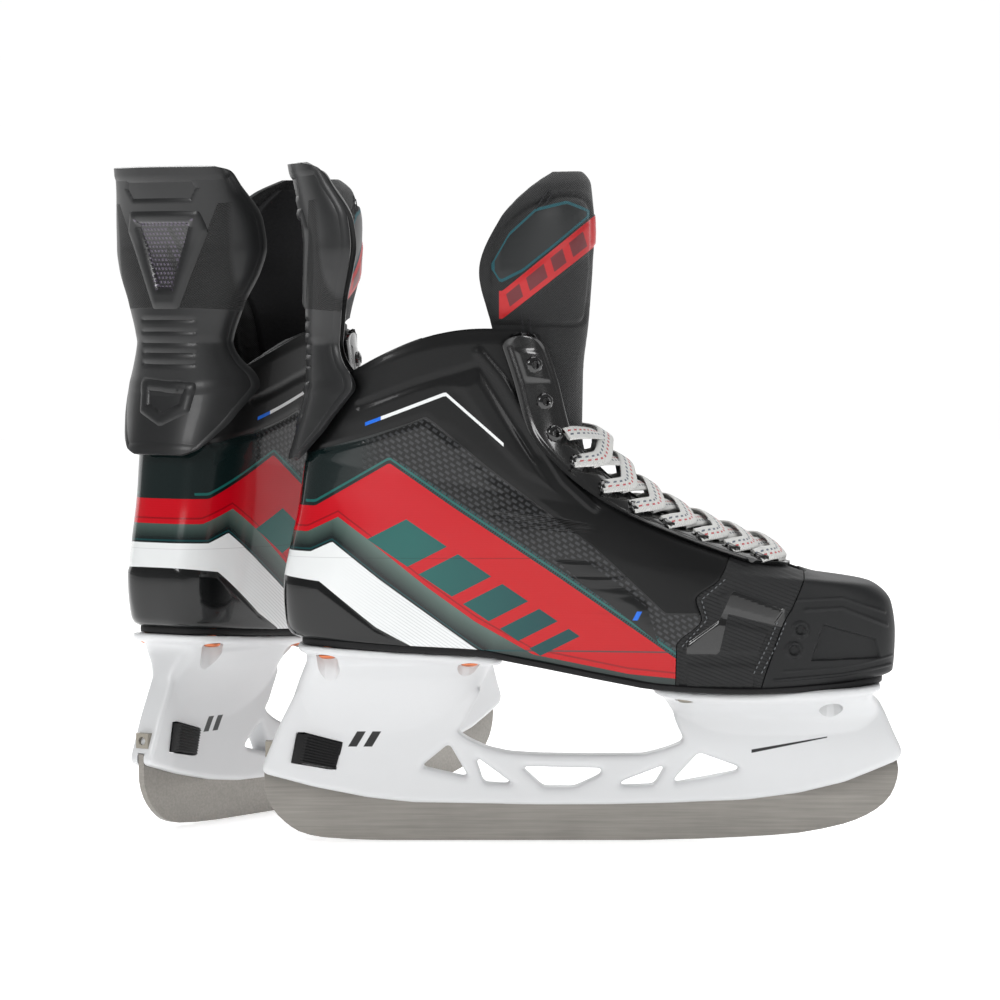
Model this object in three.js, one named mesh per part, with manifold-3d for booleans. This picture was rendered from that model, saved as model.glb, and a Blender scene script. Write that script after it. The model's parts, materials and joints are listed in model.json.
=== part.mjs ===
// A pair of ice hockey skates. Each skate is a moulded boot on a plastic holder that carries a removable
// steel runner. Lengths are millimetres and +Z is up. A skate is drawn in its own frame: X runs forward
// from the runner's rear end, Z is up from the ice, Y is across, and the outer side of a right foot is -Y.
import * as THREE from "three";
import { mergeVertices } from "three/addons/utils/BufferGeometryUtils.js";
import Module from "manifold-3d";

const wasm = await Module();
wasm.setup();

// Driving dimensions ---------------------------------------------------------------------------------
const SKATE_LENGTH = 290; // overall length of the steel runner
const SKATE_HEIGHT = 309; // ice to the top of the tendon guard
const RUNNER_THICKNESS = 3.2;
const RUNNER_SEAT = 5; // how deep the steel sits in the holder's rail
const RAIL_WIDTH = 13.6; // the holder's rail and bridge
const FLANGE_THICKNESS = 3;
const HEEL_FLANGE_WIDTH = 54;
const TOE_FLANGE_WIDTH = 74;
const SHELL_WALL = 3.4;
const SHELL_FLOOR = 3;
const OUTSOLE_THICKNESS = 2.6;
const OUTSOLE_RIM = 1.2; // how far the outsole stands out past the boot
const HEEL_SEAM = 3; // the quarters meet this far to the inner side of the middle
const COLLAR_WIDTH = 77; // over the shell at the ankle opening
const INSOLE_THICKNESS = 3;
const COLLAR_PAD = 6.5;
const EYESTAY_THICKNESS = 1.8;
const EYESTAY_EDGE = 1.5; // from the throat's edge to the strip
const THROAT_TOE_WIDTH = 24; // the throat is a slot that widens upwards
const THROAT_TOP_WIDTH = 58;
const TONGUE_THICKNESS = 5;
const TONGUE_LINER = 4;
const GUARD_THICKNESS = 3.6;
const GUARD_PAD = 4;
const LACE_WIDTH = 7;
const LACE_THICKNESS = 1.6;
const RIVET_RADIUS = 2.2;
const RIVET_HEAD = 4.2;
const BUTTON_TRAVEL = 3;
const BUTTON_STANDS_OUT = 1.3;
const SPRING_RADIUS = 2.4;
const NUT_SIZE = 7;
const NUT_DEPTH = 4;
const NUT_BORE = 2;

// Clearances -----------------------------------------------------------------------------------------
const GAP = 0.4; // between pieces that lie on each other
const SLOT_PLAY = 0.35; // each side of the steel in its slot
const FLEX_GROOVE = 2.6; // open groove where the guard and the tongue bend

// Where the second skate stands: its runner's rear end and its heading, in the first skate's frame
const SECOND_BACK = -59;
const SECOND_ACROSS = 33;
const SECOND_HEADING = 56;

// The outlines below are drawn for this length and height and stretched to the ones above.
const DRAWN_LENGTH = 290;
const DRAWN_HEIGHT = 309;
const LONG = SKATE_LENGTH / DRAWN_LENGTH;
const TALL = SKATE_HEIGHT / DRAWN_HEIGHT;

// Small tools ----------------------------------------------------------------------------------------
const { lerp, clamp, degToRad } = THREE.MathUtils;
const half = (size) => size / 2;
const power = (value, exponent) => Math.sign(value) * Math.abs(value) ** exponent;
const steps = (count) => Array.from({ length: count + 1 }, (_, i) => i / count);
const stretch = ([x, z]) => [x * LONG, z * TALL];

// A curve through rows of numbers, read by the first number of each row.
function table(rows) {
  return (at) => {
    let i = 1;
    while (i < rows.length - 1 && at > rows[i][0]) i += 1;
    const [low, high] = [rows[i - 1], rows[i]];
    const share = clamp((at - low[0]) / (high[0] - low[0]), 0, 1);
    return low.slice(1).map((value, j) => lerp(value, high[j + 1], share));
  };
}

const longTable = (rows) => {
  const read = table(rows.map(stretch));
  return (x) => read(x)[0];
};

const profile = (rows) => {
  const read = table(rows);
  return (v) => stretch(read(v));
};

// Solids ---------------------------------------------------------------------------------------------
function solidOf(geometry) {
  const bare = geometry.clone();
  bare.deleteAttribute("normal");
  bare.deleteAttribute("uv");
  const merged = mergeVertices(bare, 1e-4);
  const made = (triVerts) =>
    new wasm.Manifold(
      new wasm.Mesh({ numProp: 3, vertProperties: merged.attributes.position.array, triVerts }),
    );
  const faces = new Uint32Array(merged.index.array);
  const body = made(faces);
  if (body.volume() > 0) return body;
  for (let i = 0; i < faces.length; i += 3) [faces[i + 1], faces[i + 2]] = [faces[i + 2], faces[i + 1]];
  return made(faces);
}

function facesOf(points, index) {
  const geometry = new THREE.BufferGeometry();
  geometry.setAttribute(
    "position",
    new THREE.Float32BufferAttribute(points.flatMap((p) => p.toArray()), 3),
  );
  geometry.setIndex(index);
  return solidOf(geometry);
}

// A closed body through stacked rings. Its two ends are laddered across from side to side.
function skin(rings) {
  const count = rings[0].length;
  const index = [];
  for (let r = 0; r + 1 < rings.length; r += 1) {
    for (let i = 0; i < count; i += 1) {
      const [a, b] = [r * count + i, r * count + ((i + 1) % count)];
      index.push(a, b, b + count, a, b + count, a + count);
    }
  }
  for (const [start, flip] of [[0, true], [(rings.length - 1) * count, false]]) {
    const face = (a, b, c) => index.push(start + a, start + (flip ? c : b), start + (flip ? b : c));
    for (let i = 0; i < count / 2; i += 1) {
      const [far, next] = [(count - i) % count, count - i - 1];
      if (far !== i) face(far, i, i + 1);
      if (next !== i + 1) face(far, i + 1, next);
    }
  }
  return facesOf(rings.flat(), index);
}

// A closed sheet between two grids of points of the same size.
function slab(outer, inner) {
  const [rows, cols] = [outer.length, outer[0].length];
  const index = [];
  const at = (side, r, c) => side * rows * cols + r * cols + c;
  const quad = (a, b, c, d) => index.push(a, b, c, a, c, d);
  for (let r = 0; r + 1 < rows; r += 1) {
    for (let c = 0; c + 1 < cols; c += 1) {
      quad(at(0, r, c), at(0, r, c + 1), at(0, r + 1, c + 1), at(0, r + 1, c));
      quad(at(1, r, c), at(1, r + 1, c), at(1, r + 1, c + 1), at(1, r, c + 1));
    }
  }
  for (let r = 0; r + 1 < rows; r += 1) {
    quad(at(0, r, 0), at(0, r + 1, 0), at(1, r + 1, 0), at(1, r, 0));
    quad(at(0, r, cols - 1), at(1, r, cols - 1), at(1, r + 1, cols - 1), at(0, r + 1, cols - 1));
  }
  for (let c = 0; c + 1 < cols; c += 1) {
    quad(at(0, 0, c), at(1, 0, c), at(1, 0, c + 1), at(0, 0, c + 1));
    quad(at(0, rows - 1, c), at(0, rows - 1, c + 1), at(1, rows - 1, c + 1), at(1, rows - 1, c));
  }
  return facesOf([...outer.flat(), ...inner.flat()], index);
}

// A flat outline in X and Z, as thick as width about the centre plane.
function plate(outline, width) {
  const shape = new THREE.Shape(outline.map(([x, z]) => new THREE.Vector2(x, z)));
  const geometry = new THREE.ExtrudeGeometry(shape, { depth: width, bevelEnabled: false });
  return solidOf(geometry.rotateX(Math.PI / 2).translate(0, half(width), 0));
}

function block(low, high) {
  const size = high.map((value, i) => value - low[i]);
  const middle = high.map((value, i) => half(value + low[i]));
  return solidOf(new THREE.BoxGeometry(...size).translate(...middle));
}

const rodUp = (radius, low, high, x, y, sides = 6) =>
  solidOf(
    new THREE.CylinderGeometry(radius, radius, high - low, sides)
      .rotateX(Math.PI / 2)
      .translate(x, y, half(low + high)),
  );

const rodAlong = (radius, low, high, z, sides = 8) =>
  solidOf(
    new THREE.CylinderGeometry(radius, radius, high - low, sides)
      .rotateZ(Math.PI / 2)
      .translate(half(low + high), 0, z),
  );

// The boot's outer surface ---------------------------------------------------------------------------
const RING_POINTS = 24;
const LEVELS = [0, 0.05, 0.18, 0.26, 0.33, 0.42, 0.52, 0.62, 0.72, 0.84, 1];
const SOLE_BLEND = 0.26; // below this level a ring bends to follow the sole

const soleLine = longTable([
  [16, 91.2], [60, 88.6], [100, 86.4], [110, 84.4], [128, 81], [158, 75.3],
  [180, 71.8], [220, 70.2], [253, 71.4], [288, 74.2],
]);
const backLine = profile([
  [0, 18, 94.2], [0.05, 12.5, 100], [0.18, 9.4, 118], [0.3, 12, 134], [0.42, 16, 152],
  [0.6, 19.5, 176], [0.8, 24.5, 195], [1, 27, 207],
]);
const frontLine = profile([
  [0, 282, 76.6], [0.05, 287, 83], [0.18, 288, 98], [0.26, 286, 110], [0.32, 278, 118], [0.4, 256, 121.5],
  [0.46, 238, 127], [0.54, 208, 137], [0.62, 180, 149], [0.7, 159, 164], [0.78, 141, 186],
  [0.88, 136, 210], [1, 131, 231],
]);
const soleHalfWidth = table([
  [0, 28], [50, 30], [110, 29], [150, 33], [190, 40], [225, 43.5], [255, 41], [290, 37],
]);
const COLLAR_RISE = 12; // the collar's sides stand above the straight line from its back to its front
const SIDE_BULGE = 2;
const TOE_LEAN = 5; // the toe turns in towards the other foot
const SQUARE_FRONT = 4;
const SQUARE_HEEL = 4;
const ROUND_BACK = 2.3;

// A point of the boot's surface: angle 0 is the front, 180 the heel; level 0 the sole, 1 the collar.
function onBoot(angle, level) {
  const [backX, backZ] = backLine(level);
  const [frontX, frontZ] = frontLine(level);
  const [c, s] = [Math.cos(angle), Math.sin(angle)];
  const square = c > 0 ? SQUARE_FRONT : lerp(SQUARE_HEEL, ROUND_BACK, level);
  const x = half(backX + frontX) + half(frontX - backX) * power(c, 2 / square);
  const along = (x - backX) / (frontX - backX);
  const chord = lerp(backZ, frontZ, along) + COLLAR_RISE * level ** 4 * Math.sin(Math.PI * along);
  const sole = soleLine(x) + OUTSOLE_THICKNESS + GAP;
  const low = clamp(1 - level / SOLE_BLEND, 0, 1) ** 2;
  const wide = lerp(soleHalfWidth(x / LONG)[0], half(COLLAR_WIDTH), level);
  const bulge = SIDE_BULGE * Math.sin(Math.PI * clamp(level / 0.6, 0, 1));
  const lean = TOE_LEAN * THREE.MathUtils.smoothstep(x, 150 * LONG, 280 * LONG);
  return new THREE.Vector3(x, lean + (wide + bulge) * power(s, 2 / square), lerp(chord, sole, low));
}

// The same point moved out along the surface's normal.
function offBoot(angle, level, out) {
  const [turn, climb] = [0.03, 0.01];
  const low = clamp(level - climb, 0, 1);
  const high = clamp(level + climb, 0, 1);
  const across = onBoot(angle + turn, level).sub(onBoot(angle - turn, level));
  const up = onBoot(angle, high).sub(onBoot(angle, low));
  return onBoot(angle, level).addScaledVector(across.cross(up).normalize(), out);
}

const ringAt = (level, out, lift = 0) =>
  Array.from({ length: RING_POINTS }, (_, i) => {
    const point = offBoot((i / RING_POINTS) * Math.PI * 2, level, out);
    return point.setZ(point.z + lift);
  });

const bootForm = (out) => skin(LEVELS.map((level) => ringAt(level, out)));

// The room inside: its floor stands on the shell's, and it runs out through the collar.
function bootRoom(inset, floor) {
  const rings = [ringAt(0, -inset, floor), ringAt(0.05, -inset, floor)];
  for (const level of LEVELS.slice(2, -1)) rings.push(ringAt(level, -inset));
  rings.push(ringAt(1, -inset, 1), ringAt(1, -inset, 12));
  return skin(rings);
}

// The throat: a slot along the top of the foot, from the toe box up through the collar.
const THROAT_START = 0.44;
function throatHalfWidth(level) {
  const climbed = clamp((level - THROAT_START) / (1 - THROAT_START), 0, 1);
  return lerp(half(THROAT_TOE_WIDTH), half(THROAT_TOP_WIDTH), climbed);
}

function throatSlot(play) {
  const levels = steps(7).map((share) => lerp(THROAT_START, 1, share));
  const row = (reach) =>
    levels.map((level) => {
      const [x, z] = frontLine(level);
      const wide = throatHalfWidth(level) + play;
      const up = level === 1 ? 30 : 0;
      return [-wide, wide].map((y) => new THREE.Vector3(x + reach, y + leanAt(x), z + reach + up));
    });
  return slab(row(24), row(-10));
}

const leanAt = (x) => TOE_LEAN * THREE.MathUtils.smoothstep(x, 150 * LONG, 280 * LONG);

// The angle at which a ring is a given distance from the centre plane, on its front half.
function angleAcross(level, y) {
  const wide = onBoot(Math.PI / 2, level).y - leanAt(onBoot(Math.PI / 2, level).x);
  return Math.asin(clamp(y / wide, 0, 1) ** (SQUARE_FRONT / 2));
}

// Upper-boot pieces ----------------------------------------------------------------------------------
const TOE_SEAM = [[223.5, 40], [226, 75], [235, 102], [246, 126], [250, 160]].map(stretch);
const VAMP_SEAM = [[186, 40], [187, 92], [198, 104], [203, 122], [206, 160]].map(stretch);
const SIDE_ROOM = 140;

// Everything behind a seam, or in front of it, moved by half a gap.
function behind(seam, shift, from) {
  const edge = seam.map(([x, z]) => [x + shift, z]);
  const top = 300 * TALL;
  return plate([[from, 40 * TALL], ...edge, [edge.at(-1)[0], top], [from, top]], SIDE_ROOM);
}

const BEHIND_ALL = -60;

// Everything on one side of the seam between the quarters: 1 is the inner side.
function halfSpace(side) {
  const [near, far] = [half(GAP) + side * HEEL_SEAM, half(SIDE_ROOM)];
  return side > 0
    ? block([BEHIND_ALL, near, 0], [SKATE_LENGTH + 60, far, 2 * SKATE_HEIGHT])
    : block([BEHIND_ALL, -far, 0], [SKATE_LENGTH + 60, -near, 2 * SKATE_HEIGHT]);
}

function bootPieces() {
  const upper = bootForm(0).subtract(bootRoom(SHELL_WALL, SHELL_FLOOR)).subtract(throatSlot(0));
  const drilled = rivetPlaces.reduce((left, [x, y]) => left.subtract(rivetHole(x, y)), upper);
  const toVamp = behind(VAMP_SEAM, -half(GAP), BEHIND_ALL);
  const pastVamp = behind(VAMP_SEAM, half(GAP), BEHIND_ALL);
  const toToe = behind(TOE_SEAM, -half(GAP), BEHIND_ALL);
  const pastToe = behind(TOE_SEAM, half(GAP), BEHIND_ALL);
  const quarters = drilled.intersect(toVamp);
  return {
    quarter_inner: quarters.intersect(halfSpace(1)),
    quarter_outer: quarters.intersect(halfSpace(-1)),
    vamp: drilled.intersect(toToe).subtract(pastVamp),
    toe_cap: drilled.subtract(pastToe),
  };
}

// The outsole's plan, between two heights over its own underside.
function soleForm(low, high) {
  const sheet = (lift) => ringAt(0, OUTSOLE_RIM).map((point) => point.setZ(soleLine(point.x) + lift));
  return skin([sheet(low), sheet(high)]);
}

function outsole() {
  const made = soleForm(0, OUTSOLE_THICKNESS);
  return rivetPlaces.reduce((left, [x, y]) => left.subtract(rivetHole(x, y)), made);
}

function insole() {
  const inset = SHELL_WALL + 3;
  const floor = SHELL_FLOOR + GAP + RIVET_CLENCH;
  const cut = skin([ringAt(0, -inset, floor), ringAt(0, -inset, floor + INSOLE_THICKNESS)]);
  return cut.intersect(bootRoom(SHELL_WALL + GAP, SHELL_FLOOR + GAP));
}

// The eyestay is the lacing strip on each side of the throat, with a rounded ear at its top.
const EYESTAY_LOW = 0.455;
const EYESTAY_HIGH = 0.99;
const EYESTAY_BACK = table([[0.45, 50], [0.7, 63], [1, 74]]);

function eyestay(side) {
  const edge = (level) => angleAcross(level, throatHalfWidth(level) + EYESTAY_EDGE);
  const grid = (out) =>
    steps(9).map((share) => {
      const level = lerp(EYESTAY_LOW, EYESTAY_HIGH, share);
      const back = degToRad(EYESTAY_BACK(level)[0]);
      return steps(4).map((j) => offBoot(side * lerp(edge(level), back, j), level, out));
    });
  return slab(grid(GAP + EYESTAY_THICKNESS), grid(-1)).subtract(bootForm(GAP));
}

// Soft lining round the ankle, inside the shell and open in front.
const PAD_LOW = 0.66;
const PAD_HIGH = 0.985;
const PAD_FRONT = 95;

function collarPad() {
  const grid = (inset) =>
    steps(3).map((share) =>
      steps(10).map((j) =>
        offBoot(degToRad(lerp(PAD_FRONT, 360 - PAD_FRONT, j)), lerp(PAD_LOW, PAD_HIGH, share), -inset),
      ),
    );
  return slab(grid(SHELL_WALL - 1), grid(SHELL_WALL + GAP + COLLAR_PAD)).intersect(
    bootRoom(SHELL_WALL + GAP, SHELL_FLOOR + GAP),
  );
}

// Tendon guard: a base stitched to the heel of the boot and an upper blade that flexes at a groove.
const GUARD_HINGE_Z = 216.5 * TALL;
const guardSides = table([[0, 172, 150], [0.35, 188, 128], [0.75, 203, 116], [1, 213, 108]]);

function guardBase() {
  const top = GUARD_HINGE_Z - half(FLEX_GROOVE);
  const levels = [0.58, 0.68, 0.78, 0.88, 0.98];
  const grid = (out) =>
    levels.map((level, i) => {
      const reach = degToRad(lerp(14, 62, i / (levels.length - 1)));
      return steps(8).map((j) => offBoot(Math.PI + lerp(-reach, reach, j), level, out));
    });
  const collar = grid(GAP + GUARD_THICKNESS);
  const body = slab(collar, grid(-1)).subtract(bootForm(GAP));
  return body.subtract(block([-60, -99, top], [400, 99, top + 200]));
}

// Plan sections of the blade: height, back, reach of the sides forward, half-width.
const bladeSection = table([
  [0, 217.8, 22.3, 11, 27], [0.1, 226, 22.5, 13, 26.5], [0.3, 246, 22.7, 14.5, 30],
  [0.55, 271, 22.3, 18.5, 37.5], [0.68, 283, 20.5, 19, 36], [0.85, 299, 17, 14, 31], [1, 308.8, 15.2, 10, 28],
]);

// A layer without its border, for the lining inside a sheet.
const within = (grid) => grid.slice(1, -1).map((row) => row.slice(1, -1));

function guardLayer(inset, thickness, trimmed = (grid) => grid) {
  const grid = (into) =>
    steps(7).map((share) => {
      const [z, back, reach, wide] = bladeSection(share);
      return steps(8).map((j) => {
        const turn = lerp(-1, 1, j) * degToRad(90);
        const x = (back + reach) * LONG - (reach * LONG - into) * Math.cos(turn);
        return new THREE.Vector3(x, (wide - into) * Math.sin(turn), z * TALL);
      });
    });
  return slab(trimmed(grid(inset)), trimmed(grid(inset + thickness)));
}

const tendonGuard = () => guardLayer(0, GUARD_THICKNESS);
const guardPad = () => guardLayer(GUARD_THICKNESS + GAP, GUARD_PAD, within);

// Tongue: plan or slope sections along its length. Front point x and z, how far the sides fall back along
// the fall direction, half-width, and that direction's angle below the horizontal.
const tongueSection = table([
  [0, 228, 123, 4, 17, 80], [0.1, 208, 130.5, 6, 22, 74], [0.2, 184, 140.5, 9, 25, 66],
  [0.3, 164, 152, 14, 27, 56], [0.38, 150.5, 168, 20, 28.5, 36], [0.46, 145.5, 187, 30, 26, 14],
  [0.54, 145.5, 207, 35, 26.5, 2], [0.56, 145.5, 212, 36, 26.5, 0], [0.67, 147.6, 237, 45, 28.5, 0],
  [0.78, 150, 262, 52, 38, 0], [0.88, 151.5, 284, 44, 36, 0], [0.96, 150.5, 299, 30, 27, 0],
  [1, 147.5, 305.4, 18, 17, 0],
]);
const TONGUE_SPLIT = 0.55;
const TONGUE_HINGE = [145.5 * LONG, 209.5 * TALL];

function tongueLayer(low, high, inset, thickness, trimmed = (grid) => grid) {
  const grid = (into) =>
    steps(8).map((share) => {
      const [x, z, fall, wide, slope] = tongueSection(lerp(low, high, share));
      const away = degToRad(slope);
      return steps(6).map((j) => {
        const turn = lerp(-1, 1, j) * degToRad(90);
        const back = fall - (fall - into) * Math.cos(turn);
        return new THREE.Vector3(
          x * LONG - back * Math.cos(away),
          (wide - into) * Math.sin(turn) + leanAt(x * LONG) * 0.6,
          z * TALL - back * Math.sin(away),
        );
      });
    });
  return slab(trimmed(grid(inset)), trimmed(grid(inset + thickness)));
}

const grooveShare = 0.006; // half the flex groove, as a share of the tongue's length
const tongueLower = () => tongueLayer(0.06, TONGUE_SPLIT - grooveShare, 0, TONGUE_THICKNESS);
const tongueUpper = () => tongueLayer(TONGUE_SPLIT + grooveShare, 1, 0, TONGUE_THICKNESS);
const tongueLiner = () =>
  tongueLayer(TONGUE_SPLIT + grooveShare, 1, TONGUE_THICKNESS + GAP, TONGUE_LINER, within);

// Lace: flat straps that cross the throat between the lowest eight pairs of eyelets.
const EYELET_LEVELS = [0.48, 0.524, 0.568, 0.614, 0.662, 0.714, 0.766, 0.82];
const LACE_LIFT = GAP + EYESTAY_THICKNESS + 3 * GAP + half(LACE_THICKNESS);

function eyelet(side, level, out) {
  const edge = angleAcross(level, throatHalfWidth(level) + EYESTAY_EDGE);
  const back = degToRad(EYESTAY_BACK(level)[0]);
  return offBoot(side * lerp(edge, back, 0.45), level, out);
}

function throatEdge(side, level, out) {
  return offBoot(side * angleAcross(level, throatHalfWidth(level) + 2), level, out);
}

// A flat strap through points, lying on the boot: its flat side faces away from a point deep in the foot.
function strap(points, width) {
  const stations = points.map((at, i) => {
    const ahead = points[Math.min(i + 1, points.length - 1)].clone().sub(points[Math.max(i - 1, 0)]);
    ahead.normalize();
    const heart = new THREE.Vector3(at.x - 26 * LONG, at.y * 0.35, at.z - 40 * TALL);
    const outward = at.clone().sub(heart).normalize();
    const wide = ahead.clone().cross(outward).normalize().multiplyScalar(half(width));
    const thick = wide.clone().cross(ahead).normalize().multiplyScalar(half(LACE_THICKNESS));
    if (thick.dot(outward) < 0) thick.negate();
    return { at, wide, thick };
  });
  const side = (sign) =>
    stations.map(({ at, wide, thick }) =>
      [-1, 1].map((edge) => at.clone().addScaledVector(wide, edge).addScaledVector(thick, sign)),
    );
  return slab(side(1), side(-1));
}

const climbOf = (level) => (level - EYELET_LEVELS[0]) / (EYELET_LEVELS.at(-1) - EYELET_LEVELS[0]);

// How far, and which way, a crossing strap stands out over the tongue.
function throatOutward(level) {
  const [[lowX, lowZ], [highX, highZ]] = [frontLine(level - 0.05), frontLine(level + 0.05)];
  const out = new THREE.Vector3(highZ - lowZ, 0, lowX - highX).normalize();
  return out.multiplyScalar(lerp(2.5, 9, climbOf(level) ** 2));
}

function lace() {
  const over = (side, level) => throatEdge(side, level, LACE_LIFT + lerp(1.2, 5, climbOf(level)));
  const straps = [];
  const join = (side, from, to) => {
    const [a, b] = [over(side, from), over(-side, to)];
    const middle = a.clone().add(b).multiplyScalar(0.5).add(throatOutward(half(from + to)));
    straps.push(strap([eyelet(side, from, LACE_LIFT + 1.2 * climbOf(from)), a, middle, b], LACE_WIDTH));
  };
  join(1, EYELET_LEVELS[0], EYELET_LEVELS[0]);
  for (let i = 0; i + 1 < EYELET_LEVELS.length; i += 1) {
    join(1, EYELET_LEVELS[i], EYELET_LEVELS[i + 1]);
    join(-1, EYELET_LEVELS[i], EYELET_LEVELS[i + 1]);
  }
  // The straps keep clear of the strips that they cross.
  return straps.reduce((left, right) => left.add(right)).subtract(bootForm(EYESTAY_THICKNESS + 2 * GAP));
}

// Holder ---------------------------------------------------------------------------------------------
const RAIL_LINE = [
  [0, 30.9], [23, 24.8], [47.4, 20], [67.8, 17.8], [126, 16.7], [180, 17.3], [220, 18.9],
  [244.5, 22.1], [264.9, 27], [277, 31.8], [289.6, 37.1],
].map(stretch);
const HOLDER_OUTLINE = [
  [291.8, 41], [287.6, 49.8], [283.5, 59.4], [280, 66], [186, 63], [188, 54.4], [192.1, 45.9], [173.5, 39.8],
  [147.4, 39.6], [112.4, 40.7], [101.9, 43.1], [88, 50.8], [91, 53], [100, 70], [20, 78], [15, 68.7],
  [11, 60.7], [6.9, 52.5], [2.9, 42.7], [-0.8, 33.8],
].map(stretch);
const WINDOWS = [
  [[84.7, 44.8], [71.5, 33.9], [93.8, 28.9]],
  [[96.5, 38.6], [100.6, 26.6], [114.7, 25.7]],
  [[117.4, 34.3], [154.7, 33.4], [142, 24.8], [127.9, 24.8]],
  [[162.9, 27.2], [184, 35.3], [178.3, 25.7], [162.9, 25]],
  [[198.6, 40.6], [216.9, 34.1], [216.9, 32], [187.2, 26.6], [187.2, 28.6]],
].map((points) => points.map(stretch));

const underSole = (x) => soleLine(x) - GAP;

// A rounded plan ring between two ends, at a height that may follow the sole.
function postRing(back, front, halfWidth, heightAt, square = 3) {
  return Array.from({ length: 16 }, (_, i) => {
    const turn = (i / 16) * Math.PI * 2;
    const x = half(back + front) * LONG + half(front - back) * LONG * power(Math.cos(turn), 2 / square);
    return new THREE.Vector3(x, halfWidth * power(Math.sin(turn), 2 / square), heightAt(x));
  });
}

const flat = (z) => () => z * TALL;

function heelPost() {
  const rail = half(RAIL_WIDTH);
  const wide = half(HEEL_FLANGE_WIDTH);
  const post = skin([
    postRing(6, 87, rail + 0.2, flat(50)), postRing(11.5, 94.5, rail + 2.5, flat(61)),
    postRing(17, 101.5, rail + 8, flat(75)), postRing(20, 106, wide - 3, (x) => underSole(x) - 1.5),
  ]);
  const flange = skin([
    postRing(16, 109, wide, (x) => underSole(x) - FLANGE_THICKNESS, 4),
    postRing(16, 109, wide, underSole, 4),
  ]);
  return post.add(flange);
}

function toePost() {
  const rail = half(RAIL_WIDTH);
  const wide = half(TOE_FLANGE_WIDTH);
  const post = skin([
    postRing(191.5, 287, rail + 0.2, flat(48)), postRing(188, 284, rail + 4, flat(57)),
    postRing(182, 280, wide - 6, (x) => underSole(x) - 1.5),
  ]);
  const flange = skin([
    postRing(177.5, 281, wide, (x) => underSole(x) - FLANGE_THICKNESS, 4),
    postRing(177.5, 281, wide, underSole, 4),
  ]);
  return post.add(flange);
}

const TAB = { back: 41, front: 53, top: 64 }; // the runner's rear tab, held by the release button's nose
const HOOK = { back: 258, front: 272, top: 54 }; // the runner's front hook

function tabBox({ back, front, top }, play, bottom) {
  const thick = half(RUNNER_THICKNESS) + (play ? SLOT_PLAY : 0);
  return block([back * LONG - play, -thick, bottom], [front * LONG + play, thick, top * TALL + play]);
}

const seatLine = (lift) => RAIL_LINE.map(([x, z]) => [x, z + RUNNER_SEAT + lift]);

function runnerSlot() {
  const ends = seatLine(GAP);
  const past = SKATE_LENGTH + 9;
  const outline = [[-9, -9], [past, -9], [past, ends.at(-1)[1] - 3], ...ends.slice(0, -1).reverse(),
    [-9, ends[0][1]]];
  return plate(outline, RUNNER_THICKNESS + 2 * SLOT_PLAY)
    .add(tabBox(TAB, GAP, 0))
    .add(tabBox(HOOK, GAP, 0));
}

// Release button: one ribbed block through the heel post, pushed forward by a spring behind it.
const BUTTON_OUTLINE = [[18.7, 49.6], [36, 45.1], [32.9, 33.4], [16, 36.4]].map(stretch);
const BUTTON_MIDDLE = 42 * TALL;
const SPRING_BACK = 5.2 * LONG;
const SPRING_FRONT = 17.2 * LONG; // inside the button's bore, however long the skate is

function buttonSolid() {
  const wide = RAIL_WIDTH + 2 * BUTTON_STANDS_OUT;
  const nose = block([30 * LONG, -2.6, 39 * TALL], [TAB.back * LONG - 0.6, 2.6, 43.5 * TALL]);
  const bore = rodAlong(
    SPRING_RADIUS + GAP, 0, SPRING_FRONT + BUTTON_TRAVEL + GAP, BUTTON_MIDDLE,
  );
  return plate(BUTTON_OUTLINE, wide).add(nose).subtract(bore);
}

function buttonWindow() {
  const [topBack, topFront, lowFront, lowBack] = BUTTON_OUTLINE;
  const room = BUTTON_TRAVEL + GAP;
  return plate(
    [[topBack[0] - room, topBack[1] + GAP], [topBack[0], topBack[1] + GAP],
      [topFront[0] + GAP, topFront[1] + GAP], [lowFront[0] + GAP, lowFront[1] - GAP],
      [lowFront[0] - BUTTON_TRAVEL, lowFront[1] - GAP], [lowBack[0] - room, lowBack[1] - GAP]],
    90,
  ).add(block([30 * LONG, -3, 38.6 * TALL], [TAB.back * LONG, 3, 43.9 * TALL]));
}

const NUT_FRONT = SPRING_BACK - GAP;
const nutBox = (play) =>
  block(
    [NUT_FRONT - NUT_DEPTH - (play ? 9 : 0), -half(NUT_SIZE) - play, BUTTON_MIDDLE - half(NUT_SIZE) - play],
    [NUT_FRONT + play, half(NUT_SIZE) + play, BUTTON_MIDDLE + half(NUT_SIZE) + play],
  );

const lockNut = () => nutBox(0).subtract(rodAlong(NUT_BORE, -20, 40, BUTTON_MIDDLE));

const releaseSpring = () =>
  rodAlong(SPRING_RADIUS, SPRING_BACK + GAP, SPRING_FRONT, BUTTON_MIDDLE, 10);

const springBore = () => rodAlong(SPRING_RADIUS + GAP, NUT_FRONT, 20 * LONG, BUTTON_MIDDLE, 10);

function holder() {
  let body = plate([...RAIL_LINE, ...HOLDER_OUTLINE], RAIL_WIDTH).add(heelPost()).add(toePost());
  for (const window of WINDOWS) body = body.subtract(plate(window, 60));
  for (const cut of [runnerSlot(), buttonWindow(), nutBox(GAP), springBore()]) body = body.subtract(cut);
  body = body.subtract(soleForm(-GAP, OUTSOLE_THICKNESS + SHELL_FLOOR));
  return rivetPlaces.reduce((left, [x, y]) => left.subtract(rivetHole(x, y)), body);
}

// Runner ---------------------------------------------------------------------------------------------
const EDGE_LINE = [
  [0.4, 23.2], [3.6, 15.1], [9.3, 8.6], [15.8, 4.1], [27.2, 1.3], [55.6, 0], [171.5, 0], [220, 1.6],
  [244.5, 3.4], [264.9, 7.5], [275.4, 11.6], [283.5, 17.2], [288.3, 24.5], [290, 32.6],
].map(stretch);

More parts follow.
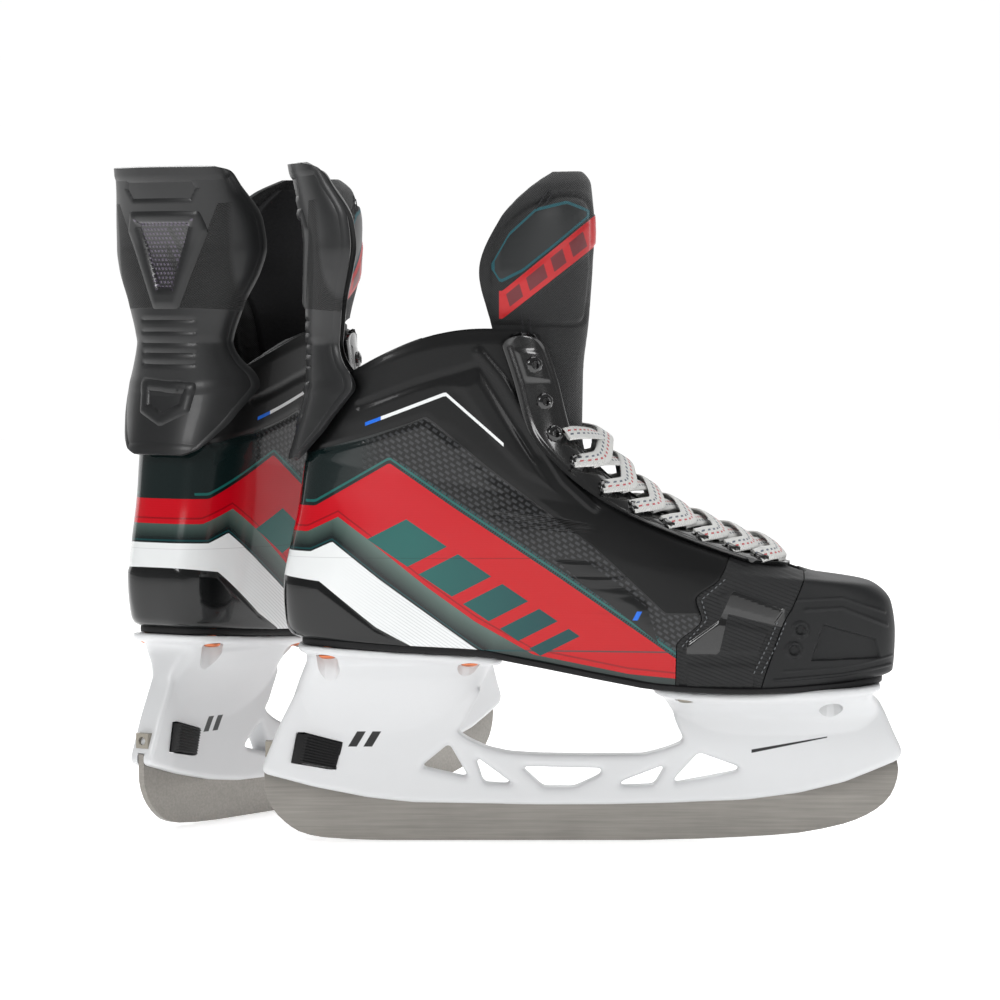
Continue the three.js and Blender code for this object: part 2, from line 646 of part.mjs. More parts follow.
function runner() {
  const top = seatLine(0).slice(0, -1).reverse();
  const blade = plate([...EDGE_LINE, [289 * LONG, 37 * TALL], ...top], RUNNER_THICKNESS);
  return blade.add(tabBox(TAB, 0, 20 * TALL)).add(tabBox(HOOK, 0, 20 * TALL));
}

// Rivets ---------------------------------------------------------------------------------------------
const RIVET_CLENCH = 1.4; // the shank's end inside the boot
// At the toe the rivets follow the sole, which leans inwards and narrows forward.
const rivetPlaces = [
  ...[30, 94].flatMap((x) => [-1, 1].map((side) => [x * LONG, side * 18.5])),
  ...[-1, 1].map((side) => [192 * LONG, leanAt(192 * LONG) + side * 27]),
  ...[-1, 1].map((side) => [258 * LONG, leanAt(258 * LONG) + side * 21]),
];
const rivetHole = (x, y) =>
  rodUp(RIVET_RADIUS + GAP, soleLine(x) - 30, soleLine(x) + OUTSOLE_THICKNESS + SHELL_FLOOR + 9, x, y)
    .intersect(block([x - 9, y - 9, 0], [x + 9, y + 9, soleLine(x) + OUTSOLE_THICKNESS + SHELL_FLOOR + 6]))
    .add(rodUp(RIVET_HEAD + GAP, 40 * TALL, underSole(x) - FLANGE_THICKNESS, x, y));

function rivet([x, y]) {
  const top = soleLine(x) + OUTSOLE_THICKNESS + GAP + SHELL_FLOOR + RIVET_CLENCH - 0.2;
  const low = underSole(x) - FLANGE_THICKNESS - GAP;
  return rodUp(RIVET_RADIUS, low - 0.5, top, x, y).add(rodUp(RIVET_HEAD, low - 1.6, low, x, y));
}

// Finishes -------------------------------------------------------------------------------------------
const FINISHES = {
  composite: [0x141617, 0.35, 0.1],
  toe: [0x2b2d2f, 0.6, 0],
  rubber: [0x101112, 0.7, 0],
  guard: [0x17181a, 0.4, 0],
  fabric: [0x1c1e1f, 0.9, 0],
  felt: [0x3a3b3d, 0.95, 0],
  white: [0xf1f2f2, 0.35, 0],
  steel: [0x9a9792, 0.35, 0.9],
  copper: [0xc98d62, 0.35, 0.9],
  button: [0x0d0d0e, 0.5, 0],
  lace: [0xeeeeec, 0.85, 0],
};

function meshOf(name, body, finish) {
  const [color, roughness, metalness] = FINISHES[finish];
  const { numProp, numVert, vertProperties, triVerts } = body.getMesh();
  const points = new Float32Array(numVert * 3);
  for (let i = 0; i < numVert; i += 1) {
    points.set(vertProperties.subarray(i * numProp, i * numProp + 3), i * 3);
  }
  const geometry = new THREE.BufferGeometry();
  geometry.setAttribute("position", new THREE.BufferAttribute(points, 3));
  geometry.setIndex(new THREE.BufferAttribute(triVerts, 1));
  geometry.computeVertexNormals();
  const mesh = new THREE.Mesh(geometry, new THREE.MeshStandardMaterial({ color, roughness, metalness }));
  mesh.name = name;
  return mesh;
}

const upper = bootPieces();
const PIECES = {
  quarter_inner: [upper.quarter_inner, "composite"],
  quarter_outer: [upper.quarter_outer, "composite"],
  vamp: [upper.vamp, "fabric"],
  toe_cap: [upper.toe_cap, "toe"],
  outsole: [outsole(), "rubber"],
  insole: [insole(), "felt"],
  collar_pad: [collarPad(), "fabric"],
  eyestay_inner: [eyestay(1), "composite"],
  eyestay_outer: [eyestay(-1), "composite"],
  guard_base: [guardBase(), "guard"],
  tendon_guard: [tendonGuard(), "guard"],
  guard_pad: [guardPad(), "fabric"],
  tongue_lower: [tongueLower(), "fabric"],
  tongue: [tongueUpper(), "fabric"],
  tongue_liner: [tongueLiner(), "felt"],
  lace: [lace(), "lace"],
  holder: [holder(), "white"],
  runner: [runner(), "steel"],
  release_button: [buttonSolid(), "button"],
  release_spring: [releaseSpring(), "steel"],
  lock_nut: [lockNut(), "steel"],
};
rivetPlaces.forEach((place, i) => {
  PIECES[`rivet_${i + 1}`] = [rivet(place), "copper"];
});

function skate(prefix) {
  const group = new THREE.Group();
  for (const [name, [body, finish]] of Object.entries(PIECES)) {
    group.add(meshOf(`${prefix}_${name}`, body, finish));
  }
  return group;
}

// The second skate is the first one's mirror image, turned and set behind it.
const right = skate("right");
const left = skate("left");
left.scale.y = -1;
const turned = new THREE.Group();
turned.add(left);
turned.rotation.z = degToRad(SECOND_HEADING);
turned.position.set(SECOND_BACK, SECOND_ACROSS, 0);

const group = new THREE.Group();
group.add(right, turned);

// The origin is the middle of the pair's footprint, on the ice.
group.updateMatrixWorld(true);
const box = new THREE.Box3().setFromObject(group, true);
const middle = box.getCenter(new THREE.Vector3());
group.position.set(-middle.x, -middle.y, -box.min.z);

export default group;
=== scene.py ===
"""A pair of ice hockey skates: the finished pieces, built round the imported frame.

Every piece is shaped once, for the right foot, in the skate's own frame: millimetres, X forward from
the runner's rear end, Y across with the inner side positive, Z up from the ice. It is then delivered
twice: as it is for the right skate, and mirrored and turned for the left one.
"""

import json
import logging
import math
from dataclasses import dataclass
from enum import Enum
from typing import Any, Callable, Optional, Sequence

import bmesh
import bpy
import numpy as np
from mathutils import Matrix, Vector
from mathutils.kdtree import KDTree


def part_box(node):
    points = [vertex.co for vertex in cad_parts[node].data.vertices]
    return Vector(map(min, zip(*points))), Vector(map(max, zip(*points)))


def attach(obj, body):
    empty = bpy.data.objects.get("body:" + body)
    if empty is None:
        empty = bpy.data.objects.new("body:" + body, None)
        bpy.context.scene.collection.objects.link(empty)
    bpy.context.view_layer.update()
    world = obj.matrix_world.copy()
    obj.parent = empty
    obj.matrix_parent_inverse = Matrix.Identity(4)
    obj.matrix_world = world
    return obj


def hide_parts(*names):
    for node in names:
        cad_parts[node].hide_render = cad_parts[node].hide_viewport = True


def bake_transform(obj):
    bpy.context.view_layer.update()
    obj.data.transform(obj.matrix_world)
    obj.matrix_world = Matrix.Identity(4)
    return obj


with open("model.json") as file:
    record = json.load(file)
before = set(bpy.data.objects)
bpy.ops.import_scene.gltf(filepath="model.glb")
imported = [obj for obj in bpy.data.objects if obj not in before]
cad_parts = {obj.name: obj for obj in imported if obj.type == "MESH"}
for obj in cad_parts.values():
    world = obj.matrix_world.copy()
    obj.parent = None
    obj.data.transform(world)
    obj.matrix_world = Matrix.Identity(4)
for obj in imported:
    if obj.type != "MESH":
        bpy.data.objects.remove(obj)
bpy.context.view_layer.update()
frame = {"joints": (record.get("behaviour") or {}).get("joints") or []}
LOG = logging.getLogger("skates")
MM = 0.001
Line = Sequence[tuple[float, float]]


# ---------------------------------------------------------------------------------------------------
# Curves and the boot's surface
# ---------------------------------------------------------------------------------------------------
class Track:
    """A smooth curve through rows of numbers, read by the first number of each row."""

    def __init__(self, rows: Sequence[Sequence[float]]) -> None:
        """Prepares the curve.

        Args:
            rows: The known rows, in rising order of their first number.
        """
        data = np.array(rows, float)
        self.at, self.values = data[:, 0], data[:, 1:]
        slope = np.diff(self.values, axis=0) / np.diff(self.at)[:, None]
        before, after = slope[:-1], slope[1:]
        agree = before * after > 0
        self.tangent = np.zeros_like(self.values)
        total = np.where(agree, before + after, 1.0)
        self.tangent[1:-1] = np.where(agree, 2 * before * after / total, 0.0)
        self.tangent[0], self.tangent[-1] = slope[0], slope[-1]

    def __call__(self, at: Any) -> np.ndarray:
        """Reads the curve.

        Args:
            at: Where to read it, a number or an array of any shape.

        Returns:
            The values, with one more axis than at.
        """
        at = np.clip(np.asarray(at, float), self.at[0], self.at[-1])
        low = np.clip(np.searchsorted(self.at, at, side="right") - 1, 0, len(self.at) - 2)
        span = (self.at[low + 1] - self.at[low])[..., None]
        t = (at - self.at[low])[..., None] / span
        a, b = self.values[low], self.values[low + 1]
        m, n = self.tangent[low] * span, self.tangent[low + 1] * span
        return (
            (2 * t**3 - 3 * t**2 + 1) * a
            + (t**3 - 2 * t**2 + t) * m
            + (3 * t**2 - 2 * t**3) * b
            + (t**3 - t**2) * n
        )

    def one(self, at: Any) -> np.ndarray:
        """The first value of each reading."""
        return self(at)[..., 0]


def smooth(low: float, high: float, value: Any) -> np.ndarray:
    """A smooth step from 0 at low to 1 at high."""
    t = np.clip((np.asarray(value, float) - low) / (high - low), 0, 1)
    return t * t * (3 - 2 * t)


def off_line(x: np.ndarray, z: np.ndarray, line: Line) -> np.ndarray:
    """The distance of points from a line of straight runs.

    Args:
        x: The points' first coordinates.
        z: The points' second coordinates.
        line: The line's corners.

    Returns:
        The distances, in the points' unit.
    """
    nearest = np.full(np.shape(x), 1e9)
    for (ax, az), (bx, bz) in zip(line, line[1:]):
        dx, dz = bx - ax, bz - az
        t = np.clip(((x - ax) * dx + (z - az) * dz) / (dx * dx + dz * dz), 0, 1)
        nearest = np.minimum(nearest, np.hypot(x - ax - t * dx, z - az - t * dz))
    return nearest


def inside(x: np.ndarray, z: np.ndarray, outline: Line) -> np.ndarray:
    """How far points lie inside a closed outline, negative outside it.

    Args:
        x: The points' first coordinates.
        z: The points' second coordinates.
        outline: The outline's corners.

    Returns:
        The signed distances.
    """
    odd = np.zeros(np.shape(x), bool)
    closed = [*outline, outline[0]]
    for (ax, az), (bx, bz) in zip(closed, closed[1:]):
        if az != bz:
            odd ^= ((az > z) != (bz > z)) & (x < (bx - ax) * (z - az) / (bz - az) + ax)
    return np.where(odd, 1, -1) * off_line(x, z, closed)


def rounded(outline: Line, radius: float, count: int = 5, closed: bool = True) -> list[tuple[float, float]]:
    """An outline with its corners rounded.

    Args:
        outline: The corners.
        radius: How far from a corner its rounding starts, at most half an edge.
        count: Points on each rounding.
        closed: Whether the outline closes on itself.

    Returns:
        The rounded outline's points.
    """
    points = [np.array(p, float) for p in outline]
    made: list[tuple[float, float]] = []
    for i, corner in enumerate(points):
        if not closed and i in (0, len(points) - 1):
            made.append(tuple(corner))
            continue
        legs = [points[i - 1] - corner, points[(i + 1) % len(points)] - corner]
        ends = [corner + leg * min(radius / np.linalg.norm(leg), 0.48) for leg in legs]
        for t in np.linspace(0, 1, count):
            made.append(tuple((1 - t) ** 2 * ends[0] + 2 * t * (1 - t) * corner + t * t * ends[1]))
    return made


def walk(line: Line, step: float, start: float = 0.0) -> list[tuple[float, float, float, float]]:
    """Even steps along a line of straight runs.

    Args:
        line: The line's corners.
        step: The distance between two stops.
        start: Where the first stop is.

    Returns:
        For each stop its place and the line's unit direction there.
    """
    made, left = [], start
    for (ax, az), (bx, bz) in zip(line, line[1:]):
        length = math.hypot(bx - ax, bz - az)
        while left < length:
            t = left / length
            made.append((ax + t * (bx - ax), az + t * (bz - az), (bx - ax) / length, (bz - az) / length))
            left += step
        left -= length
    return made


class BootForm:
    """The boot's outer surface. Angle 0 is the front and pi the heel; level 0 the sole, 1 the collar."""

    OUTSOLE = 2.6
    GAP = 0.4
    SOLE_BLEND = 0.26
    COLLAR_RISE = 12.0
    COLLAR_HALF = 38.5
    BULGE = 2.0
    SQUARE_FRONT, SQUARE_HEEL, ROUND_BACK = 4.0, 4.0, 2.3
    THROAT_START, THROAT_TOE, THROAT_TOP = 0.44, 12.0, 29.0
    ABOVE = 100.0

    def __init__(self) -> None:
        """Sets up the lines that the surface follows."""
        self.sole = Track([
            [16, 91.2], [60, 88.6], [100, 86.4], [110, 84.4], [128, 81], [158, 75.3],
            [180, 71.8], [220, 70.2], [253, 71.4], [288, 74.2],
        ])
        self.back = Track([
            [0, 18, 94.2], [0.05, 12.5, 100], [0.18, 9.4, 118], [0.3, 12, 134], [0.42, 16, 152],
            [0.6, 19.5, 176], [0.8, 24.5, 195], [1, 27, 207],
        ])
        self.front = Track([
            [0, 282, 76.6], [0.05, 287, 83], [0.18, 288, 98], [0.26, 286, 110], [0.32, 278, 118],
            [0.4, 256, 121.5], [0.46, 238, 127], [0.54, 208, 137], [0.62, 180, 149], [0.7, 159, 164],
            [0.78, 141, 186], [0.88, 136, 210], [1, 131, 231],
        ])
        self.half = Track([
            [0, 28], [50, 30], [110, 29], [150, 33], [190, 40], [225, 43.5], [255, 41], [290, 37],
        ])

    @staticmethod
    def lean(x: Any) -> np.ndarray:
        """How far the toe turns in towards the other foot."""
        return 5.0 * smooth(150, 280, x)

    def _span(self, level: np.ndarray) -> tuple[np.ndarray, ...]:
        """The back's and the front's place at each level."""
        back, front = self.back(level), self.front(level)
        return back[..., 0], back[..., 1], front[..., 0], front[..., 1]

    def _square(self, forward: np.ndarray, level: np.ndarray) -> np.ndarray:
        """How square a ring's end is, on its front or back half."""
        rear = self.SQUARE_HEEL + (self.ROUND_BACK - self.SQUARE_HEEL) * np.clip(level, 0, 1)
        return np.where(forward > 0, self.SQUARE_FRONT, rear)

    def point(self, angle: Any, level: Any) -> np.ndarray:
        """Places on the surface.

        Args:
            angle: Angles round the boot, positive on the inner side.
            level: Levels from the sole; past 1 they rise straight up from the collar.

        Returns:
            The places, with x, y and z on the last axis.
        """
        angle, level = np.broadcast_arrays(np.asarray(angle, float), np.asarray(level, float))
        above, level = np.maximum(level - 1, 0), np.clip(level, 0, 1)
        bx, bz, fx, fz = self._span(level)
        c, s = np.cos(angle), np.sin(angle)
        share = 2 / self._square(c, level)
        x = (bx + fx) / 2 + (fx - bx) / 2 * np.sign(c) * np.abs(c) ** share
        along = (x - bx) / (fx - bx)
        chord = bz + (fz - bz) * along + self.COLLAR_RISE * level**4 * np.sin(np.pi * along)
        sole = self.sole.one(x) + self.OUTSOLE + self.GAP
        low = np.clip(1 - level / self.SOLE_BLEND, 0, 1) ** 2
        wide = self.half.one(x) * (1 - level) + self.COLLAR_HALF * level
        wide = wide + self.BULGE * np.sin(np.pi * np.clip(level / 0.6, 0, 1))
        y = self.lean(x) + wide * np.sign(s) * np.abs(s) ** share
        z = chord + (sole - chord) * low + above * self.ABOVE
        return np.stack([x, y, z], -1)

    def out(self, angle: Any, level: Any, distance: Any) -> np.ndarray:
        """Places moved out along the surface's normal.

        Args:
            angle: Angles round the boot.
            level: Levels from the sole.
            distance: How far to move out, negative inwards.

        Returns:
            The places.
        """
        angle, level, distance = np.broadcast_arrays(
            np.asarray(angle, float), np.asarray(level, float), np.asarray(distance, float)
        )
        capped = np.clip(level, 0, 1)
        across = self.point(angle + 0.03, capped) - self.point(angle - 0.03, capped)
        up = self.point(angle, np.clip(capped + 0.01, 0, 1)) - self.point(angle, np.clip(capped - 0.01, 0, 1))
        normal = np.cross(across, up)
        normal /= np.linalg.norm(normal, axis=-1, keepdims=True)
        return self.point(angle, level) + normal * distance[..., None]

    def angle_at(self, level: Any, x: Any) -> np.ndarray:
        """The angle, on the inner side, at which a level's ring passes a place along the boot."""
        bx, _, fx, _ = self._span(np.clip(level, 0, 1))
        reach = np.clip((np.asarray(x, float) - (bx + fx) / 2) / ((fx - bx) / 2), -1, 1)
        square = self._square(reach, np.asarray(level, float))
        return np.arccos(np.sign(reach) * np.abs(reach) ** (square / 2))

    def throat(self, level: Any) -> np.ndarray:
        """The angle of the throat's edge at each level, 0 where there is no throat."""
        level = np.asarray(level, float)
        share = np.clip((level - self.THROAT_START) / (1 - self.THROAT_START), 0, 1)
        half = self.THROAT_TOE + (self.THROAT_TOP - self.THROAT_TOE) * share
        side = self.point(np.pi / 2, level)
        wide = side[..., 1] - self.lean(side[..., 0])
        angle = np.arcsin(np.clip(half / wide, 0, 1) ** (self.SQUARE_FRONT / 2))
        return np.where(level < self.THROAT_START, 0.0, angle)

    def seen_at(self, x: Any, z: Any) -> tuple[np.ndarray, np.ndarray]:
        """Angle and level of the surface's inner side at places in the side view.

        Args:
            x: Places along the boot.
            z: Heights.

        Returns:
            The angles and the levels.
        """
        x, z = np.broadcast_arrays(np.asarray(x, float), np.asarray(z, float))
        low, high = np.zeros(x.shape), np.full(x.shape, 1.12)
        for _ in range(26):
            middle = (low + high) / 2
            under = self.point(self.angle_at(middle, x), middle)[..., 2] < z
            low, high = np.where(under, middle, low), np.where(under, high, middle)
        return self.angle_at(low, x), low

    def seen(self, x: Any, z: Any, side: int, distance: Any = 0.0) -> np.ndarray:
        """Places on one side of the boot, given in the side view.

        Args:
            x: Places along the boot.
            z: Heights.
            side: 1 for the inner side and -1 for the outer side.
            distance: How far out of the surface.

        Returns:
            The places.
        """
        angle, level = self.seen_at(x, z)
        return self.out(angle * side, level, distance)


BOOT = BootForm()


# ---------------------------------------------------------------------------------------------------
# Shader work
# ---------------------------------------------------------------------------------------------------
def srgb(red: float, green: float, blue: float) -> tuple[float, float, float, float]:
    """A colour as a screen shows it, made linear."""
    linear = [c / 12.92 if c <= 0.04045 else ((c + 0.055) / 1.055) ** 2.4 for c in (red, green, blue)]
    return (*linear, 1.0)


class Value:
    """A shader socket that carries a number, with arithmetic."""

    def __init__(self, canvas: "Canvas", socket: Any) -> None:
        """Wraps a socket of a canvas."""
        self.canvas, self.socket = canvas, socket

    def _do(self, operation: str, *others: Any) -> "Value":
        """One Math node on this value and others."""
        return self.canvas.number(operation, self, *others)

    def __add__(self, other: Any) -> "Value":
        """The sum."""
        return self._do("ADD", other)

    __radd__ = __add__

    def __mul__(self, other: Any) -> "Value":
        """The product."""
        return self._do("MULTIPLY", other)

    __rmul__ = __mul__

    def __sub__(self, other: Any) -> "Value":
        """The difference."""
        return self._do("SUBTRACT", other)

    def __rsub__(self, other: Any) -> "Value":
        """The difference, the other way round."""
        return self.canvas.number("SUBTRACT", other, self)

    def __truediv__(self, other: Any) -> "Value":
        """The quotient."""
        return self._do("DIVIDE", other)

    def sine(self) -> "Value":
        """The sine."""
        return self._do("SINE")

    def size(self) -> "Value":
        """The absolute value."""
        return self._do("ABSOLUTE")

    def share(self) -> "Value":
        """The value held between 0 and 1."""
        return self.canvas.clamped(self)

    def wave(self, period: float) -> "Value":
        """The distance along a repeating stretch, from 0 to period."""
        return self._do("FLOORED_MODULO", period)

    def under(self, other: Any, soft: float = 0.00025) -> "Value":
        """1 where this is below the other, 0 above, over a soft edge."""
        return ((other - self) / soft + 0.5).share() if isinstance(other, Value) else (
            (self * -1 + other) / soft + 0.5
        ).share()

    def over(self, other: Any, soft: float = 0.00025) -> "Value":
        """1 where this is above the other, 0 below."""
        return ((self - other) / soft + 0.5).share()

    def between(self, low: float, high: float, soft: float = 0.00025) -> "Value":
        """1 between two limits."""
        return self.over(low, soft) * self.under(high, soft)


class Canvas:
    """One material under construction."""

    RAMP_X, RAMP_Z = 0.32, 0.32

    def __init__(self, name: str) -> None:
        """Starts a material with a Principled shader."""
        self.material = bpy.data.materials.new(name)
        self.material.use_nodes = True
        self.tree = self.material.node_tree
        self.shader = self.tree.nodes["Principled BSDF"]
        self._charts: dict[str, tuple[Value, Value]] = {}

    def node(self, kind: str, settings: Optional[dict] = None, inputs: Optional[dict] = None) -> Any:
        """Adds a node.

        Args:
            kind: The node's type.
            settings: Properties, set first.
            inputs: Values or links, by the input's name or number.

        Returns:
            The node.
        """
        made = self.tree.nodes.new(kind)
        for key, value in (settings or {}).items():
            setattr(made, key, value)
        for key, value in (inputs or {}).items():
            self.feed(made.inputs[key], value)
        return made

    def feed(self, socket: Any, value: Any) -> None:
        """Links a socket, or sets its constant."""
        if isinstance(value, Value):
            value = value.socket
        if isinstance(value, bpy.types.NodeSocket):
            self.tree.links.new(value, socket)
        else:
            socket.default_value = value

    def number(self, operation: str, *values: Any) -> Value:
        """A Math node."""
        made = self.node("ShaderNodeMath", {"operation": operation}, dict(enumerate(values)))
        return Value(self, made.outputs[0])

    def clamped(self, value: Value) -> Value:
        """A value held between 0 and 1."""
        made = self.node("ShaderNodeClamp", inputs={0: value})
        return Value(self, made.outputs[0])

    def chart(self, name: str) -> tuple[Value, Value]:
        """The two coordinates of one of the piece's maps, in metres."""
        if name not in self._charts:
            read = self.node("ShaderNodeUVMap", {"uv_map": name})
            parts = self.node("ShaderNodeSeparateXYZ", inputs={0: read.outputs[0]})
            self._charts[name] = (Value(self, parts.outputs[0]), Value(self, parts.outputs[1]))
        return self._charts[name]

    def edge(self, x: Value, line: Line) -> Value:
        """The height of a line over each place along it.

        Args:
            x: The place, in metres.
            line: The line's corners in millimetres, in rising order.

        Returns:
            The height in metres.
        """
        ramp = self.node("ShaderNodeValToRGB", inputs={0: x / self.RAMP_X})
        stops = ramp.color_ramp.elements
        for i, (at, height) in enumerate(line):
            stop = stops[i] if i < 2 else stops.new(at * MM / self.RAMP_X)
            stop.position = at * MM / self.RAMP_X
            stop.color = (height * MM / self.RAMP_Z,) * 3 + (1,)
        bw = self.node("ShaderNodeSeparateColor", inputs={0: ramp.outputs[0]})
        return Value(self, bw.outputs[0]) * self.RAMP_Z

    def mix(self, factor: Any, first: Any, second: Any) -> Any:
        """A colour between two."""
        made = self.node("ShaderNodeMix", {"data_type": "RGBA"})
        self.feed(made.inputs[0], factor)
        self.feed(made.inputs[6], first)
        self.feed(made.inputs[7], second)
        return made.outputs[2]

    def noise(self, scale: float, detail: float = 3.0, stretch: Sequence[float] = (1, 1, 1)) -> Value:
        """A soft random value over the piece, about 0.5."""
        place = self.node("ShaderNodeTexCoord").outputs["Object"]
        turned = self.node("ShaderNodeMapping", inputs={"Vector": place, "Scale": tuple(stretch)})
        made = self.node("ShaderNodeTexNoise", inputs={
            "Vector": turned.outputs[0], "Scale": scale, "Detail": detail, "Roughness": 0.6,
        })
        return Value(self, made.outputs[0])

    def set(self, **plain: Any) -> "Canvas":
        """Sets constants or links on the shader by the socket's name, with _ for a space."""
        for key, value in plain.items():
            self.feed(self.shader.inputs[key.replace("_", " ")], value)
        return self

    def bump(self, height: Any, depth: float, strength: float = 1.0) -> "Canvas":
        """Raises the surface by a pattern of a given depth in metres."""
        made = self.node("ShaderNodeBump", inputs={"Strength": strength, "Distance": depth, "Height": height})
        self.feed(self.shader.inputs["Normal"], made.outputs[0])
        return self


class Finish:
    """A finish whose paint method draws it on a canvas."""

    name: str

    def build(self) -> bpy.types.Material:
        """Makes the material."""
        canvas = Canvas(self.name)
        self.paint(canvas)
        return canvas.material


@dataclass(frozen=True)
class Plain(Finish):
    """A finish of one colour, with a fine grain in its gloss and its surface."""

    name: str
    color: tuple[float, float, float, float]
    roughness: float
    metallic: float = 0.0
    coat: float = 0.0
    grain: float = 900.0
    grain_depth: float = 0.00004
    mottle: float = 0.06
    wear: float = 0.0

    def paint(self, canvas: Canvas) -> None:
        """Draws the finish."""
        broad, fine = canvas.noise(60.0, 4.0), canvas.noise(self.grain, 2.0)
        dark = tuple(c * (1 - 2 * self.mottle) for c in self.color[:3]) + (1,)
        light = tuple(min(1, c * (1 + 2 * self.mottle) + self.wear * 0.05) for c in self.color[:3]) + (1,)
        canvas.set(
            Base_Color=canvas.mix(broad, dark, light),
            Roughness=(fine * 0.16 + broad * 0.12 + (self.roughness - 0.14)).share(),
            Metallic=self.metallic, Coat_Weight=self.coat, Coat_Roughness=0.06,
            Specular_IOR_Level=0.5 if self.metallic or self.coat > 0.5 else 0.3,
        )
        canvas.bump(fine, self.grain_depth)


@dataclass(frozen=True)
class Woven(Finish):
    """A fabric: crossing threads at a real pitch, with sheen."""

    name: str
    color: tuple[float, float, float, float]
    pitch: float
    chart: str = "side"
    roughness: float = 0.85
    depth: float = 0.0003
    contrast: float = 0.35

    def paint(self, canvas: Canvas) -> None:
        """Draws the finish."""
        u, v = canvas.chart(self.chart)
        turn = 2 * math.pi / self.pitch
        warp = ((u + v) * (turn * 0.7071)).sine()
        weft = ((u - v) * (turn * 0.7071)).sine()
        thread = warp * weft * 0.5 + 0.5
        dark = tuple(c * (1 - self.contrast) for c in self.color[:3]) + (1,)
        light = tuple(c * (1 + self.contrast) for c in self.color[:3]) + (1,)
        shade = thread * 0.6 + canvas.noise(80.0) * 0.4
        canvas.set(Base_Color=canvas.mix(shade, dark, light), Roughness=self.roughness,
                   Sheen_Weight=0.25, Sheen_Roughness=0.5)
        canvas.bump(thread, self.depth)


BLACK = srgb(0.055, 0.06, 0.062)
RED = srgb(0.76, 0.0, 0.04)
RED_LIGHT = srgb(0.78, 0.03, 0.12)
TEAL = srgb(0.03, 0.27, 0.28)
TEAL_LIGHT = srgb(0.10, 0.38, 0.36)
SAGE = srgb(0.38, 0.47, 0.44)
PINE = srgb(0.06, 0.11, 0.11)
WHITE = srgb(0.93, 0.94, 0.94)
BLUE = srgb(0.05, 0.42, 0.88)


class Lines:
    """Lines drawn on the boot, in the side view."""

    RED_TOP = [(0, 154.2), (24.5, 154.2), (58.3, 173.9), (86.9, 154), (135, 122), (177.7, 92.7), (190, 84)]
    RED_LOW = [(0, 142.6), (21, 142.6), (35, 149.4), (48.2, 139.6), (75, 118), (96.8, 102.3), (122.9, 87.5),
               (165.5, 79.2), (190, 77)]
    SAGE_LOW = [(0, 136.2), (22.4, 136), (32.4, 140.8), (55, 123.5), (86, 99.5), (105, 88), (190, 70)]
    WHITE_TOP = [(0, 134), (22.4, 133.6), (32.3, 138.2), (53.3, 121.6), (95, 91.4), (100, 88)]
    WHITE_LOW = [(0, 123.6), (26.4, 120.2), (52, 99.6), (67, 91.6), (77.5, 85)]
    PLATE_LOW = [(0, 171), (27.6, 179), (48.3, 185), (67.2, 191), (74.5, 194), (79, 191), (101.6, 172),
                 (118.8, 158.8), (137.2, 145), (150, 136), (182, 106)]
    CHEVRON = [(40, 188.6), (47.4, 191.3), (83.5, 205), (110, 181.7), (120, 173)]
    TOE_SEAM = [(223.5, 60), (225, 72), (230, 88), (235, 102), (239.5, 110), (246, 126), (250, 140)]
    VAMP_SEAM = [(186.5, 60), (187, 92), (198, 104), (195.5, 113), (206, 122), (214, 140)]


